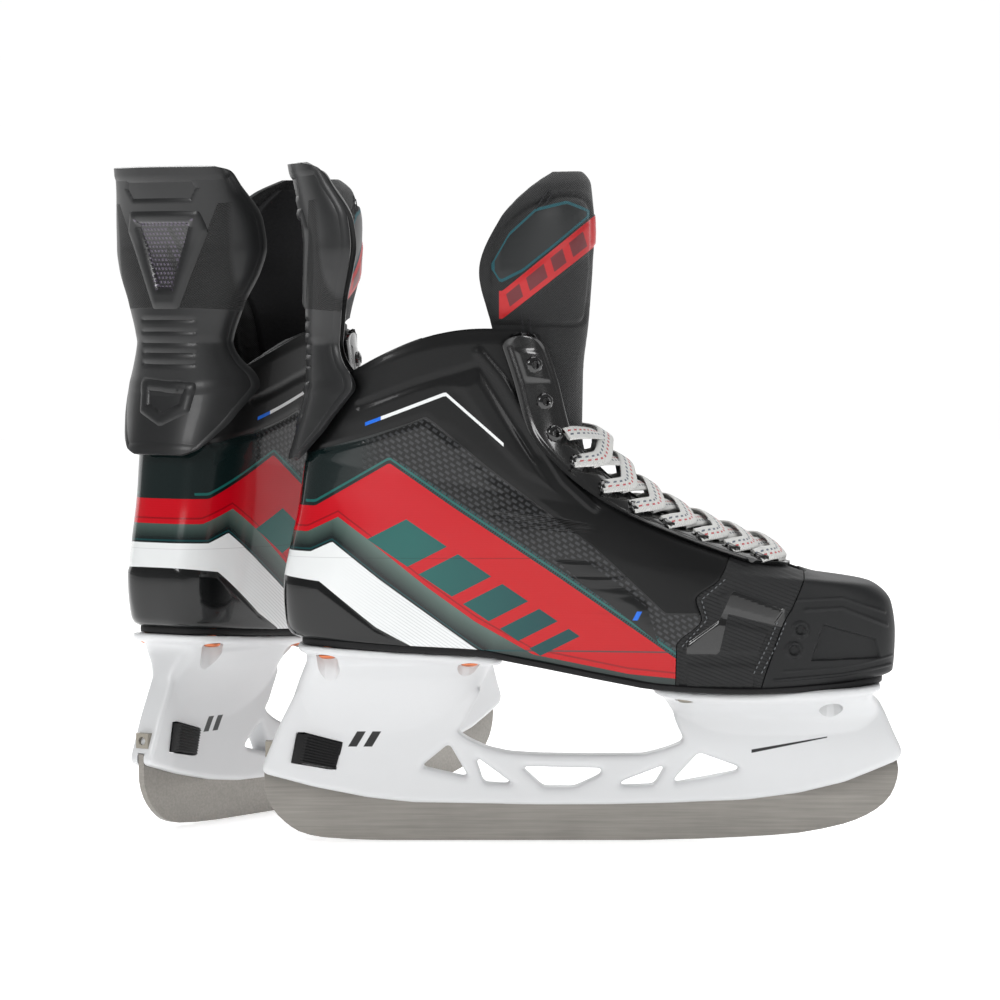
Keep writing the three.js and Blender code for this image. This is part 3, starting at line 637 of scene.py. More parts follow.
class ShellFinish(Finish):
    """The boot's lacquer: carbon weave, a red band, a white band and their lines."""

    name = "shell_lacquer"

    def paint(self, canvas: Canvas) -> None:
        """Draws the finish."""
        x, z = canvas.chart("side")
        red_top, red_low = canvas.edge(x, Lines.RED_TOP), canvas.edge(x, Lines.RED_LOW)
        sage_low = canvas.edge(x, Lines.SAGE_LOW)
        white_top, white_low = canvas.edge(x, Lines.WHITE_TOP), canvas.edge(x, Lines.WHITE_LOW)
        plate_low = canvas.edge(x, Lines.PLATE_LOW)
        along = x * 0.829 - z * 0.559
        across = x * 0.559 + z * 0.829
        weave = self._weave(canvas, along, across)
        carbon_zone = z.over(red_top + 0.003) * z.under(plate_low) * x.over(0.05, 0.012)
        carbon = canvas.mix(weave * 0.85, srgb(0.03, 0.032, 0.034), srgb(0.235, 0.24, 0.25))
        glossy = canvas.mix(x.over(0.052, 0.03), PINE, BLACK)
        color = canvas.mix(carbon_zone, glossy, carbon)
        hatch = (along.wave(0.0012)).under(0.0006, 0.0003)
        halo = z.over(red_top) * z.under(red_top + 0.0042)
        color = canvas.mix(halo * x.over(0.064, 0.004) * hatch * 0.8, color, TEAL)
        line = z.over(red_top + 0.0016) * z.under(red_top + 0.0028) * x.over(0.02)
        color = canvas.mix(line, color, TEAL_LIGHT)
        red_zone = z.under(red_top) * z.over(red_low)
        ribs = (z.wave(0.0011)).under(0.00055, 0.0004) * 0.25
        reds = canvas.mix(x.under(0.085, 0.05) * 0.55 + ribs, RED, RED_LIGHT)
        inner = z.over(red_low + 0.0022) * z.under(red_low + 0.003)
        reds = canvas.mix(inner * 0.6, reds, srgb(0.42, 0.02, 0.06))
        color = canvas.mix(red_zone, color, reds)
        color = canvas.mix(self._bars(along, across) * red_zone, color,
                           canvas.mix(x.under(0.1, 0.06), TEAL, TEAL_LIGHT))
        sage_zone = z.under(red_low) * z.over(sage_low)
        fade = ((z - sage_low) / 0.012).share()
        color = canvas.mix(sage_zone, color, canvas.mix(fade * x.under(0.16, 0.09), PINE, SAGE))
        white_zone = z.under(white_top) * z.over(white_low) * x.under(0.0985)
        print_lines = (across.wave(0.0013)).under(0.0004, 0.0003) * x.over(0.05, 0.03) * 0.35
        color = canvas.mix(white_zone, color, canvas.mix(print_lines, WHITE, srgb(0.6, 0.62, 0.62)))
        pin = z.over(white_top + 0.0009) * z.under(white_top + 0.0016)
        color = canvas.mix(pin * 0.8, color, TEAL)
        upper = z.over(plate_low + 0.0008)
        color = canvas.mix(upper, color, srgb(0.05, 0.052, 0.055))
        chevron = canvas.edge(x, Lines.CHEVRON)
        stripe = (z - chevron).size().under(0.0008) * x.between(0.0474, 0.1095)
        color = canvas.mix(stripe, color, canvas.mix(x.under(0.0545), WHITE, BLUE))
        label_low = canvas.edge(x, [(0, 131), (132, 131), (178.5, 93.6), (190, 90)])
        label_high = canvas.edge(x, [(0, 131), (132, 131.2), (145.5, 131), (173.8, 109.3), (178.5, 93.7),
                                     (190, 90)])
        label = z.over(label_low) * z.under(label_high)
        color = canvas.mix(label, color, BLACK)
        badge = z.between(0.1035, 0.1075) * (x - z * 0.5).between(0.1155, 0.1178)
        color = canvas.mix(badge, color, BLUE)
        heel = z.under(white_low)
        color = canvas.mix(heel * x.under(0.0985), color, BLACK)
        canvas.set(
            Base_Color=color,
            Roughness=(0.16 + upper * 0.22 + carbon_zone * 0.16 + canvas.noise(40.0) * 0.06).share(),
            Coat_Weight=(0.55 - upper * 0.4 - red_zone * 0.2).share(), Coat_Roughness=0.05,
            Specular_IOR_Level=0.25,
        )
        canvas.bump(weave * carbon_zone * (1 - label) + canvas.noise(700.0) * 0.05, 0.00022)

    @staticmethod
    def _weave(canvas: Canvas, along: Value, across: Value) -> Value:
        """Small slanted dashes in offset rows."""
        pitch = 0.0021
        row = across.wave(pitch * 2).under(pitch, 0.0001)
        shifted = along + row * (pitch * 0.9)
        dash = shifted.wave(pitch * 1.8).between(0.0004, pitch * 1.25, 0.0004)
        thread = across.wave(pitch).between(0.0003, pitch * 0.72, 0.0004)
        return dash * thread

    @staticmethod
    def _bars(along: Value, across: Value) -> Value:
        """Slanted blocks along the red band, getting narrower towards the toe."""
        lean = along - (across - 0.150) * 0.55
        mask: Any = 0.0
        for start, end in ((-0.034, -0.012), (-0.006, 0.012), (0.018, 0.032), (0.038, 0.048), (0.054, 0.060)):
            mask = mask + lean.between(start, end)
        low, high = 0.1425, 0.1600
        return (mask * across.between(low, high)).share()


# ---------------------------------------------------------------------------------------------------
# Making and placing pieces
# ---------------------------------------------------------------------------------------------------
class Side(Enum):
    """Which skate of the pair a copy belongs to."""

    RIGHT = "right"
    LEFT = "left"

    def matrix(self) -> Matrix:
        """The move from the drawing's millimetres to the skate's place.

        Returns:
            The matrix.
        """
        if self is Side.RIGHT:
            low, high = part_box("right_runner")
            return Matrix.Translation((low[0], (low[1] + high[1]) / 2, 0)) @ Matrix.Scale(MM, 4)
        hinge = next(j for j in frame["joints"] if j["name"] == "left_tongue_open")
        across, place = Vector(hinge["axis"]), Vector(hinge["pos_m"])
        along = Vector((across.y, -across.x, 0)).normalized()
        side = Vector((along.y, -along.x, 0))
        turn = Matrix((along, side, (0, 0, 1))).transposed()
        move = Vector((place.x, place.y, 0)) - turn @ Vector((0.1455, 0, 0))
        return Matrix.Translation(move) @ turn.to_4x4() @ Matrix.Scale(MM, 4)


@dataclass
class Sheet:
    """A rectangle of points with maps, before it becomes a mesh."""

    points: np.ndarray
    charts: dict[str, np.ndarray]
    closed: bool = False

    @classmethod
    def of(cls, points: np.ndarray, closed: bool = False, **charts: np.ndarray) -> "Sheet":
        """A sheet whose side chart is its place in the side view.

        Args:
            points: Rows by columns by three.
            closed: Whether the columns close into a ring.
            charts: More maps, rows by columns by two, in millimetres.

        Returns:
            The sheet.
        """
        return cls(points, {"side": points[..., [0, 2]], **charts}, closed)


class Workshop:
    """Makes meshes and delivers them to both skates."""

    def __init__(self) -> None:
        """Reads where the two skates stand."""
        self.places = {side: side.matrix() for side in Side}
        self.finishes: dict[str, bpy.types.Material] = {}

    @staticmethod
    def only(*objects: bpy.types.Object) -> None:
        """Selects just these objects, the first one active."""
        bpy.ops.object.select_all(action="DESELECT")
        for item in objects:
            item.select_set(True)
        bpy.context.view_layer.objects.active = objects[0]

    @staticmethod
    def _grid(columns: int, rows: int) -> bpy.types.Object:
        """A primitive grid with this many quads each way."""
        bpy.ops.mesh.primitive_grid_add(x_subdivisions=columns, y_subdivisions=rows, size=1)
        return bpy.context.object

    def sheet(self, name: str, sheet: Sheet) -> bpy.types.Object:
        """A mesh from a sheet.

        Args:
            name: The piece's name.
            sheet: Its points and maps.

        Returns:
            The piece, in millimetres at the origin.
        """
        rows, columns = sheet.points.shape[:2]
        made = self._grid(columns - 1, rows - 1)
        made.name = name
        mesh = made.data
        mesh.vertices.foreach_set("co", sheet.points.reshape(-1).astype(np.float32))
        index = np.zeros(len(mesh.loops), np.int32)
        mesh.loops.foreach_get("vertex_index", index)
        for key, values in sheet.charts.items():
            layer = mesh.uv_layers.get(key) or mesh.uv_layers.new(name=key)
            layer.uv.foreach_set("vector", (values.reshape(-1, 2)[index] * MM).reshape(-1).astype(np.float32))
        first = mesh.uv_layers.get("UVMap")
        if first and "UVMap" not in sheet.charts:
            mesh.uv_layers.remove(first)
        mesh.update()
        if sheet.closed:
            self.weld(made, 1e-4)
        return made

    def weld(self, item: bpy.types.Object, distance: float) -> None:
        """Joins points that lie on each other."""
        work = bmesh.new()
        work.from_mesh(item.data)
        bmesh.ops.remove_doubles(work, verts=work.verts, dist=distance)
        work.to_mesh(item.data)
        work.free()

    def modify(self, item: bpy.types.Object, kind: str, **settings: Any) -> bpy.types.Object:
        """Adds a modifier and applies it.

        Args:
            item: The piece.
            kind: The modifier's type.
            settings: Its settings.

        Returns:
            The piece.
        """
        self.only(item)
        made = item.modifiers.new(kind.title(), kind)
        for key, value in settings.items():
            setattr(made, key, value)
        bpy.ops.object.modifier_apply(modifier=made.name)
        return item

    def thick(self, item: bpy.types.Object, thickness: float, soft: float = 0.0) -> bpy.types.Object:
        """Thickens a sheet inwards, with its rim rounded by soft."""
        self.modify(item, "SOLIDIFY", thickness=thickness, offset=-1, use_even_offset=False)
        if soft:
            self.modify(item, "BEVEL", width=soft, segments=2, limit_method="ANGLE", angle_limit=1.0,
                        harden_normals=False, use_clamp_overlap=True)
        return item

    def loft(self, name: str, rings: np.ndarray, capped: bool = True) -> bpy.types.Object:
        """A closed body through rings of points.

        Args:
            name: The piece's name.
            rings: Rings by points by three.
            capped: Whether both ends are filled.

        Returns:
            The piece.
        """
        loop = np.concatenate([rings, rings[:, :1]], 1)
        made = self.sheet(name, Sheet.of(loop, closed=True))
        if capped:
            self.only(made)
            bpy.ops.object.mode_set(mode="EDIT")
            bpy.ops.mesh.select_all(action="SELECT")
            bpy.ops.mesh.region_to_loop()
            bpy.ops.mesh.edge_face_add()
            bpy.ops.mesh.select_all(action="SELECT")
            bpy.ops.mesh.normals_make_consistent(inside=False)
            bpy.ops.object.mode_set(mode="OBJECT")
        return made

    def slab(self, name: str, outline: Line, width: float, soft: float = 0.0,
             holes: Sequence[Line] = ()) -> bpy.types.Object:
        """A flat plate in X and Z, as thick as width about the middle plane.

        Args:
            name: The piece's name.
            outline: Its corners.
            width: Its thickness across.
            soft: The rounding of its edges.
            holes: Outlines of openings.

        Returns:
            The piece.
        """
        curve = bpy.data.curves.new(name, "CURVE")
        curve.dimensions, curve.fill_mode = "2D", "BOTH"
        curve.extrude, curve.bevel_depth, curve.bevel_resolution = width / 2 - soft, soft, 2
        curve.offset = -soft
        for line in (outline, *holes):
            spline = curve.splines.new("POLY")
            spline.points.add(len(line) - 1)
            for point, (x, z) in zip(spline.points, line):
                point.co = (x, z, 0, 1)
            spline.use_cyclic_u = True
        made = bpy.data.objects.new(name, curve)
        bpy.context.collection.objects.link(made)
        self.only(made)
        bpy.ops.object.convert(target="MESH")
        made = bpy.context.object
        made.data.transform(Matrix.Rotation(math.pi / 2, 4, "X"))
        self.weld(made, 1e-4)
        return made

    def chart(self, item: bpy.types.Object, name: str = "side") -> bpy.types.Object:
        """Gives a piece a map of its place in the side view."""
        mesh = item.data
        layer = mesh.uv_layers.get(name) or mesh.uv_layers.new(name=name)
        place = np.zeros(len(mesh.vertices) * 3, np.float32)
        mesh.vertices.foreach_get("co", place)
        index = np.zeros(len(mesh.loops), np.int32)
        mesh.loops.foreach_get("vertex_index", index)
        layer.uv.foreach_set("vector", (place.reshape(-1, 3)[index][:, [0, 2]] * MM).reshape(-1))
        return item

    def join(self, name: str, items: Sequence[bpy.types.Object]) -> bpy.types.Object:
        """Joins pieces into one."""
        self.only(*items)
        if len(items) > 1:
            bpy.ops.object.join()
        made = bpy.context.object
        made.name = name
        return made

    def scatter(self, name: str, shape: bpy.types.Object, places: np.ndarray,
                frames: np.ndarray) -> bpy.types.Object:
        """Many copies of a small shape as one piece.

        Args:
            name: The piece's name.
            shape: The small shape, used up.
            places: Where each copy goes.
            frames: For each copy its three axes as rows.

        Returns:
            The piece.
        """
        mesh = shape.data
        co = np.zeros(len(mesh.vertices) * 3, np.float32)
        mesh.vertices.foreach_get("co", co)
        co = co.reshape(-1, 3).astype(float)
        faces = [list(p.vertices) for p in mesh.polygons]
        points = np.einsum("vi,nij->nvj", co, frames) + places[:, None]
        count = len(co)
        every = [[i + n * count for i in face] for n in range(len(places)) for face in faces]
        made = bpy.data.meshes.new(name)
        made.from_pydata(points.reshape(-1, 3).tolist(), [], every)
        bpy.data.objects.remove(shape)
        item = bpy.data.objects.new(name, made)
        bpy.context.collection.objects.link(item)
        return self.chart(item)

    def cut(self, item: bpy.types.Object, *tools: bpy.types.Object) -> bpy.types.Object:
        """Cuts a piece with others, which are used up."""
        for tool in tools:
            self.modify(item, "BOOLEAN", object=tool, operation="DIFFERENCE", solver="EXACT")
            bpy.data.objects.remove(tool)
        return item

    def deliver(self, item: bpy.types.Object, body: str, slot: str, material: Any, *,
                nodes: Sequence[str] = (), blend: Optional[tuple[str, tuple, tuple]] = None,
                padded: Optional[float] = None, smooth_angle: float = 40.0) -> None:
        """Places a piece on both skates.

        Args:
            item: The piece in the drawing's millimetres; it is used up.
            body: The body it moves with, without its side.
            slot: The name of its material slot; not used.
            material: The finish that it wears.
            nodes: The CAD nodes that it takes the place of, without their side.
            blend: A second body with the start and end of the bend between them; when it is given, the piece's
                place is baked in, it is tied to no body and no bend is made.
            padded: How full a soft piece is, from 0 to 1; not used.
            smooth_angle: Edges sharper than this stay sharp.
        """
        self.only(item)
        bpy.ops.object.shade_smooth_by_angle(angle=math.radians(smooth_angle))
        item.data.materials.clear()
        item.data.materials.append(self.finish(material))
        name = item.name
        item.name = name + "_drawn"
        for side, matrix in self.places.items():
            mesh = item.data.copy()
            mesh.transform(matrix)
            if matrix.determinant() < 0:
                mesh.flip_normals()
            made = bpy.data.objects.new(f"{side.value}_{name}", mesh)
            bpy.context.collection.objects.link(made)
            if blend:
                other, start, end = blend
                tuple(matrix @ Vector(start))
                tuple(matrix @ Vector(end))
                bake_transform(made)
            else:
                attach(made, f"{side.value}_{body}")
            if nodes:
                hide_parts(*[f"{side.value}_{node}" for node in nodes])
        bpy.data.objects.remove(item)

    def finish(self, material: Any) -> bpy.types.Material:
        """Builds a finish once."""
        key = material.name
        if key not in self.finishes:
            self.finishes[key] = material.build()
        return self.finishes[key]


# ---------------------------------------------------------------------------------------------------
# Finishes
# ---------------------------------------------------------------------------------------------------
GLOSS_BLACK = Plain("gloss_black", srgb(0.035, 0.037, 0.04), 0.2, coat=1.0, grain_depth=0.00001)
TOE_GREY = Plain("toe_grey", srgb(0.115, 0.118, 0.122), 0.5, grain=1500.0, grain_depth=0.00006)
RUBBER = Plain("outsole_black", srgb(0.09, 0.09, 0.095), 0.6)
BUTTON_BLACK = Plain("button_black", srgb(0.07, 0.07, 0.075), 0.5)
COPPER = Plain("copper", srgb(0.85, 0.5, 0.35), 0.3, metallic=1.0)
PLATED = Plain("plated_steel", srgb(0.62, 0.6, 0.56), 0.38, metallic=1.0)
THREAD = Plain("thread", srgb(0.2, 0.2, 0.21), 0.8)
THREAD_LIGHT = Plain("thread_light", srgb(0.42, 0.43, 0.44), 0.8)
LINING = Woven("lining_cloth", srgb(0.09, 0.092, 0.095), 0.0014, depth=0.0002)
FELT = Plain("felt", srgb(0.16, 0.16, 0.165), 0.95, grain=700.0, grain_depth=0.0004)


class HolderFinish(Finish):
    """White nylon with a few generic slanted marks."""

    name = "holder_white"

    def paint(self, canvas: Canvas) -> None:
        """Draws the finish."""
        x, z = canvas.chart("side")
        fine = canvas.noise(1200.0, 2.0)
        lean = x - z * 0.6
        heel = (lean.between(0.0125, 0.0165) + lean.between(0.0195, 0.0235)).share()
        heel = heel * z.between(0.0435, 0.0505)
        low = canvas.edge(x, [(0, 40.5), (222, 40.5), (258, 47.8), (300, 55)])
        wedge = z.over(low) * z.under(low + (x - 0.222) * -0.03 + 0.0016) * x.between(0.2225, 0.257)
        marks = (heel + wedge).share()
        canvas.set(
            Base_Color=canvas.mix(marks, srgb(0.86, 0.865, 0.87), srgb(0.06, 0.06, 0.065)),
            Roughness=(fine * 0.12 + 0.3).share(), Coat_Weight=0.12, Coat_Roughness=0.1,
        )
        canvas.bump(fine, 0.00002)


class SteelFinish(Finish):
    """Ground steel: fine lines along the runner."""

    name = "runner_steel"

    def paint(self, canvas: Canvas) -> None:
        """Draws the finish."""
        along = canvas.noise(900.0, 3.0, (0.03, 1.0, 1.0))
        broad = canvas.noise(25.0, 3.0)
        canvas.set(
            Base_Color=canvas.mix(along * 0.6 + broad * 0.4,
                                  srgb(0.38, 0.372, 0.36), srgb(0.66, 0.645, 0.62)),
            Metallic=1.0, Roughness=(along * 0.14 + broad * 0.1 + 0.22).share(),
        )
        canvas.bump(along, 0.00003)


# ---------------------------------------------------------------------------------------------------
# The boot
# ---------------------------------------------------------------------------------------------------
@dataclass
class Upper:
    """The moulded boot: quarters, stitched vamp wrap, toe cap and outsole."""

    wall: float = 3.2
    columns: int = 420
    rows: int = 150
    shop: Workshop = None

    SHELL_RIDGES = (
        ([(98.5, 223.2), (108, 212), (122, 189), (137, 166), (150, 154)], 2.8, 0.9),
        ([(44.8, 199.5), (70, 209), (99, 217.5), (106, 206), (124, 176.5)], 2.4, -0.6),
        ([(28, 179.6), (48.3, 185), (74.5, 194), (101.6, 172), (137, 145)], 2.4, -0.5),
    )
    SHELL_PLATES = (
        ([(84, 209), (99, 214), (112, 193), (134, 160), (118, 168), (104, 184), (90, 205)], 3.0, 0.8),
        ([(132.6, 130.6), (145.3, 130.6), (174.6, 108.6), (178, 95), (160, 104)], 1.6, 0.7),
        ([(9, 96), (62, 90), (76, 87.5), (52, 99.6), (26.4, 120), (9, 123)], 3.0, 0.5),
    )

    def build(self) -> None:
        """Makes and delivers every part of the upper."""
        self._quarters()
        self._vamp()
        self._toe()
        self._outsole()
        self._stitches()

    @staticmethod
    def _relief(points: np.ndarray, ridges: Sequence, plates: Sequence) -> np.ndarray:
        """How far the surface stands out at each point.

        Args:
            points: Places on the surface.
            ridges: Lines with their width and height.
            plates: Outlines with the width of their slope and their height.

        Returns:
            The heights.
        """
        x, z = points[..., 0], points[..., 2]
        height = np.zeros(x.shape)
        for line, width, tall in ridges:
            height += tall * (1 - smooth(width * 0.35, width, off_line(x, z, line)))
        for outline, slope, tall in plates:
            height += tall * smooth(0, slope, inside(x, z, outline))
        return height

    def _wrap(self, angles: np.ndarray, levels: np.ndarray, height: np.ndarray,
              name: str) -> bpy.types.Object:
        """A sheet on the boot's surface with relief."""
        return self.shop.sheet(name, Sheet.of(BOOT.out(angles, levels, height)))

    def _at_seam(self, seam: Line, shift: float = 0.0) -> Callable:
        """The angle at which each level meets a seam given in the side view."""
        levels = np.linspace(0, 1, 200)
        line = Track([(z, x) for x, z in seam])
        angle = np.full(levels.shape, 0.5)
        low, high = np.zeros(levels.shape), np.full(levels.shape, np.pi / 2 + 0.9)
        for _ in range(30):
            angle = (low + high) / 2
            place = BOOT.point(angle, levels)
            ahead = place[:, 0] > line.one(place[:, 2]) + shift
            low, high = np.where(ahead, angle, low), np.where(ahead, high, angle)
        table = Track(np.stack([levels, angle], 1))
        return lambda level: np.maximum(table.one(level), 0.0)

    def _quarters(self) -> None:
        """The moulded shell behind the vamp seam, as one sheet round the heel."""
        levels = np.linspace(0, 1, self.rows)[:, None]
        seam = self._at_seam(Lines.VAMP_SEAM, -0.2)
        start = np.maximum(seam(levels), BOOT.throat(levels))
        share = np.linspace(0, 1, self.columns)[None]
        angles = start + (2 * np.pi - 2 * start) * share
        flat = BOOT.point(angles, levels)
        height = self._relief(flat, self.SHELL_RIDGES, self.SHELL_PLATES)
        height = height - 0.8 * smooth(0.965, 1.0, np.broadcast_to(levels, angles.shape))
        shell = self._wrap(angles, np.broadcast_to(levels, angles.shape), height, "quarters")
        self.shop.thick(shell, self.wall, 0.7)
        self.shop.deliver(shell, "boot", "composite_shell", ShellFinish(),
                          nodes=("quarter_inner", "quarter_outer"))

    def _vamp(self) -> None:
        """The stitched wrap between the quarters and the toe cap, with its raised panels."""
        rear, front = self._at_seam(Lines.VAMP_SEAM, 0.2), self._at_seam(Lines.TOE_SEAM, -0.2)
        panels = (
            ([(191, 73), (222, 73), (223, 84), (191, 84)], 1.2, 0.7),
            ([(191, 88), (224, 88), (229, 99), (206, 104), (191, 93)], 1.4, 0.9),
            ([(208, 108), (231, 101.5), (236.5, 109), (213, 117.5), (205, 115)], 1.4, 0.9),
        )
        ridges = (([(187, 74), (187.5, 92), (199.5, 104.5), (197, 113), (208, 121)], 1.5, 0.6),)

        def relief(points: np.ndarray) -> np.ndarray:
            """The vamp's height over the boot's surface."""
            return self._relief(points, ridges, panels) - 0.4

        levels = np.linspace(0, 0.6, 110)[:, None]
        start = np.maximum(front(levels), BOOT.throat(levels))
        stop = np.maximum(rear(levels), start + 1e-3)
        keep = int(np.argmax((rear(levels) <= start + 0.004)[:, 0])) or len(levels)
        made = []
        for side in (1, -1):
            share = np.linspace(0, 1, 120)[None]
            angles = start + (stop - start) * share
            angles = angles[:keep]
            rows = np.broadcast_to(levels[:keep], angles.shape)
            height = relief(BOOT.point(angles, rows))
            if side > 0:
                made.append(self._wrap(angles, rows, height, "vamp_side"))
            else:
                made.append(self._wrap(-angles[:, ::-1], rows, height[:, ::-1], "vamp_side"))
        wrap = self.shop.join("vamp", made)
        self.shop.weld(wrap, 0.02)
        self.shop.thick(wrap, 2.4, 0.4)
        self.shop.deliver(wrap, "boot", "stitched_vamp", VampFinish(), nodes=["vamp"])

    def _toe(self) -> None:
        """The toe cap, closed over the top, with its recessed panel, rings and ridges."""
        seam = self._at_seam(Lines.TOE_SEAM, 0.2)
        levels = np.linspace(0, 0.43, 150)[:, None]
        reach = seam(levels)
        share = np.linspace(-1, 1, 300)[None]
        angles = reach * share
        flat = BOOT.point(angles, levels)
        plates = (([(247.4, 84.8), (253, 101.6), (277.8, 94.2), (280.4, 85.2)], 0.7, -1.5),)
        ridges = (
            ([(231, 76.5), (262, 78.5), (285, 82)], 0.9, 0.5),
            ([(245, 108), (262, 108.5), (283, 100)], 1.0, 0.5),
            ([(240, 112.5), (262, 113), (282, 106)], 0.8, 0.35),
            ([(236, 80.5), (262, 81.6), (286, 86)], 0.7, 0.3),
        )
        height = self._relief(flat, ridges, plates)
        for cx, cz in ((242.8, 99.2), (239.9, 90)):
            away = np.hypot(flat[..., 0] - cx, flat[..., 2] - cz)
            height += 0.8 * (1 - smooth(0.5, 1.1, np.abs(away - 3.0))) - 0.5 * (1 - smooth(1.8, 2.4, away))
        cap = self._wrap(angles, np.broadcast_to(levels, angles.shape), height, "toe_cap")
        self.shop.thick(cap, 3.2, 0.8)
        self.shop.deliver(cap, "boot", "toe_plastic", TOE_GREY, nodes=["toe_cap"])

    def _outsole(self) -> None:
        """The outsole plate, just proud of the boot all round."""
        turn = np.linspace(0, 2 * np.pi, 240, endpoint=False)
        rings = []
        for rim, lift in ((0.0, 0.0), (1.0, 0.3), (1.4, 1.2), (1.2, 2.4), (0.2, 2.9)):
            ring = BOOT.out(turn, 0.0, rim)
            ring[:, 2] = BOOT.sole.one(ring[:, 0]) + lift
            rings.append(ring)
        plate = self.shop.loft("outsole", np.array(rings))
        self.shop.chart(plate)
        self.shop.deliver(plate, "boot", "outsole_rubber", RUBBER, nodes=["outsole"])

    def _stitches(self) -> None:
        """Rows of thread along the seams of the upper."""
        rows = (
            (Lines.VAMP_SEAM[1:5], 2.6), ([(227, 78), (233.5, 92), (238.5, 104)], -2.0),
            ([(226, 76), (232, 92), (237, 104)], -4.4),
        )
        lines = []
        for line, shift in rows:
            lines.append([(x + shift, max(z, 80)) for x, z in line])
        for side in (1, -1):
            Stitching(self.shop).along_boot(f"upper_stitches_{'inner' if side > 0 else 'outer'}", lines, side)


@dataclass
class Stitching:
    """Small threads along lines."""

    shop: Workshop
    pitch: float = 2.4
    length: float = 1.7
    width: float = 0.62

    def shape(self) -> bpy.types.Object:
        """One stitch, lying along X with its back in +Z."""
        bpy.ops.mesh.primitive_uv_sphere_add(segments=6, ring_count=4, radius=1)
        made = bpy.context.object
        made.data.transform(Matrix.Diagonal((self.length / 2, self.width / 2, self.width / 2, 1)))
        return made

    def along_boot(self, name: str, lines: Sequence[Line], side: int, lift: float = 0.5,
                   material: Any = THREAD_LIGHT, slot: str = "stitched_vamp") -> None:
        """Stitches on one side of the boot, along lines in the side view.

        Args:
            name: The piece's name.
            lines: The lines.
            side: 1 for the inner side, -1 for the outer.
            lift: How far the thread's middle stands off the boot's surface.
            material: The thread's finish.
            slot: Its material slot.
        """
        stops = np.array([stop for line in lines for stop in walk(line, self.pitch, 0.5)])
        places = BOOT.seen(stops[:, 0], stops[:, 1], side, lift)
        ahead = BOOT.seen(stops[:, 0] + 0.6 * stops[:, 2], stops[:, 1] + 0.6 * stops[:, 3], side, lift)
        out = BOOT.seen(stops[:, 0], stops[:, 1], side, lift + 1) - places
        self.lay(name, places, ahead - places, out, material, slot, "boot")

    def lay(self, name: str, places: np.ndarray, ahead: np.ndarray, out: np.ndarray, material: Any, slot: str,
            body: str, blend: Optional[tuple] = None) -> None:
        """Delivers stitches at places.

        Args:
            name: The piece's name.
            places: Each stitch's middle.
            ahead: The way each stitch runs.
            out: The way out of the surface.
            material: The thread's finish.
            slot: Its material slot.
            body: The body they move with.
            blend: A second body and the bend between them.
        """
        ahead = ahead / np.linalg.norm(ahead, axis=1, keepdims=True)
        across = np.cross(out, ahead)
        across /= np.linalg.norm(across, axis=1, keepdims=True)
        frames = np.stack([ahead, across, np.cross(ahead, across)], 1)
        threads = self.shop.scatter(name, self.shape(), places, frames)
        self.shop.deliver(threads, body, slot, material, blend=blend, smooth_angle=80)


class VampFinish(Finish):
    """Ribbed cloth with glossy raised panels."""

    name = "vamp_wrap"

    def paint(self, canvas: Canvas) -> None:
        """Draws the finish."""
        x, z = canvas.chart("side")
        ribs = ((z * 0.9 + x * 0.35).wave(0.0016)).under(0.0009, 0.0005)
        low = canvas.edge(x, [(0, 88.5), (206, 88.5), (210, 106.5), (236, 100), (300, 96)])
        high = canvas.edge(x, [(0, 93), (191, 93), (206, 103.5), (212, 117), (236, 108.5), (300, 100)])
        panel = (z.over(low, 0.0005) * z.under(high, 0.0005) * x.between(0.1915, 0.2355, 0.0005)).share()
        canvas.set(
            Base_Color=canvas.mix(panel, srgb(0.095, 0.098, 0.102), srgb(0.05, 0.052, 0.055)),
            Roughness=(0.62 - panel * 0.42 + canvas.noise(60.0) * 0.08).share(),
            Coat_Weight=(panel * 0.8).share(), Coat_Roughness=0.08,
        )
        canvas.bump(ribs * (1 - panel) + panel * 0.5, 0.00025)


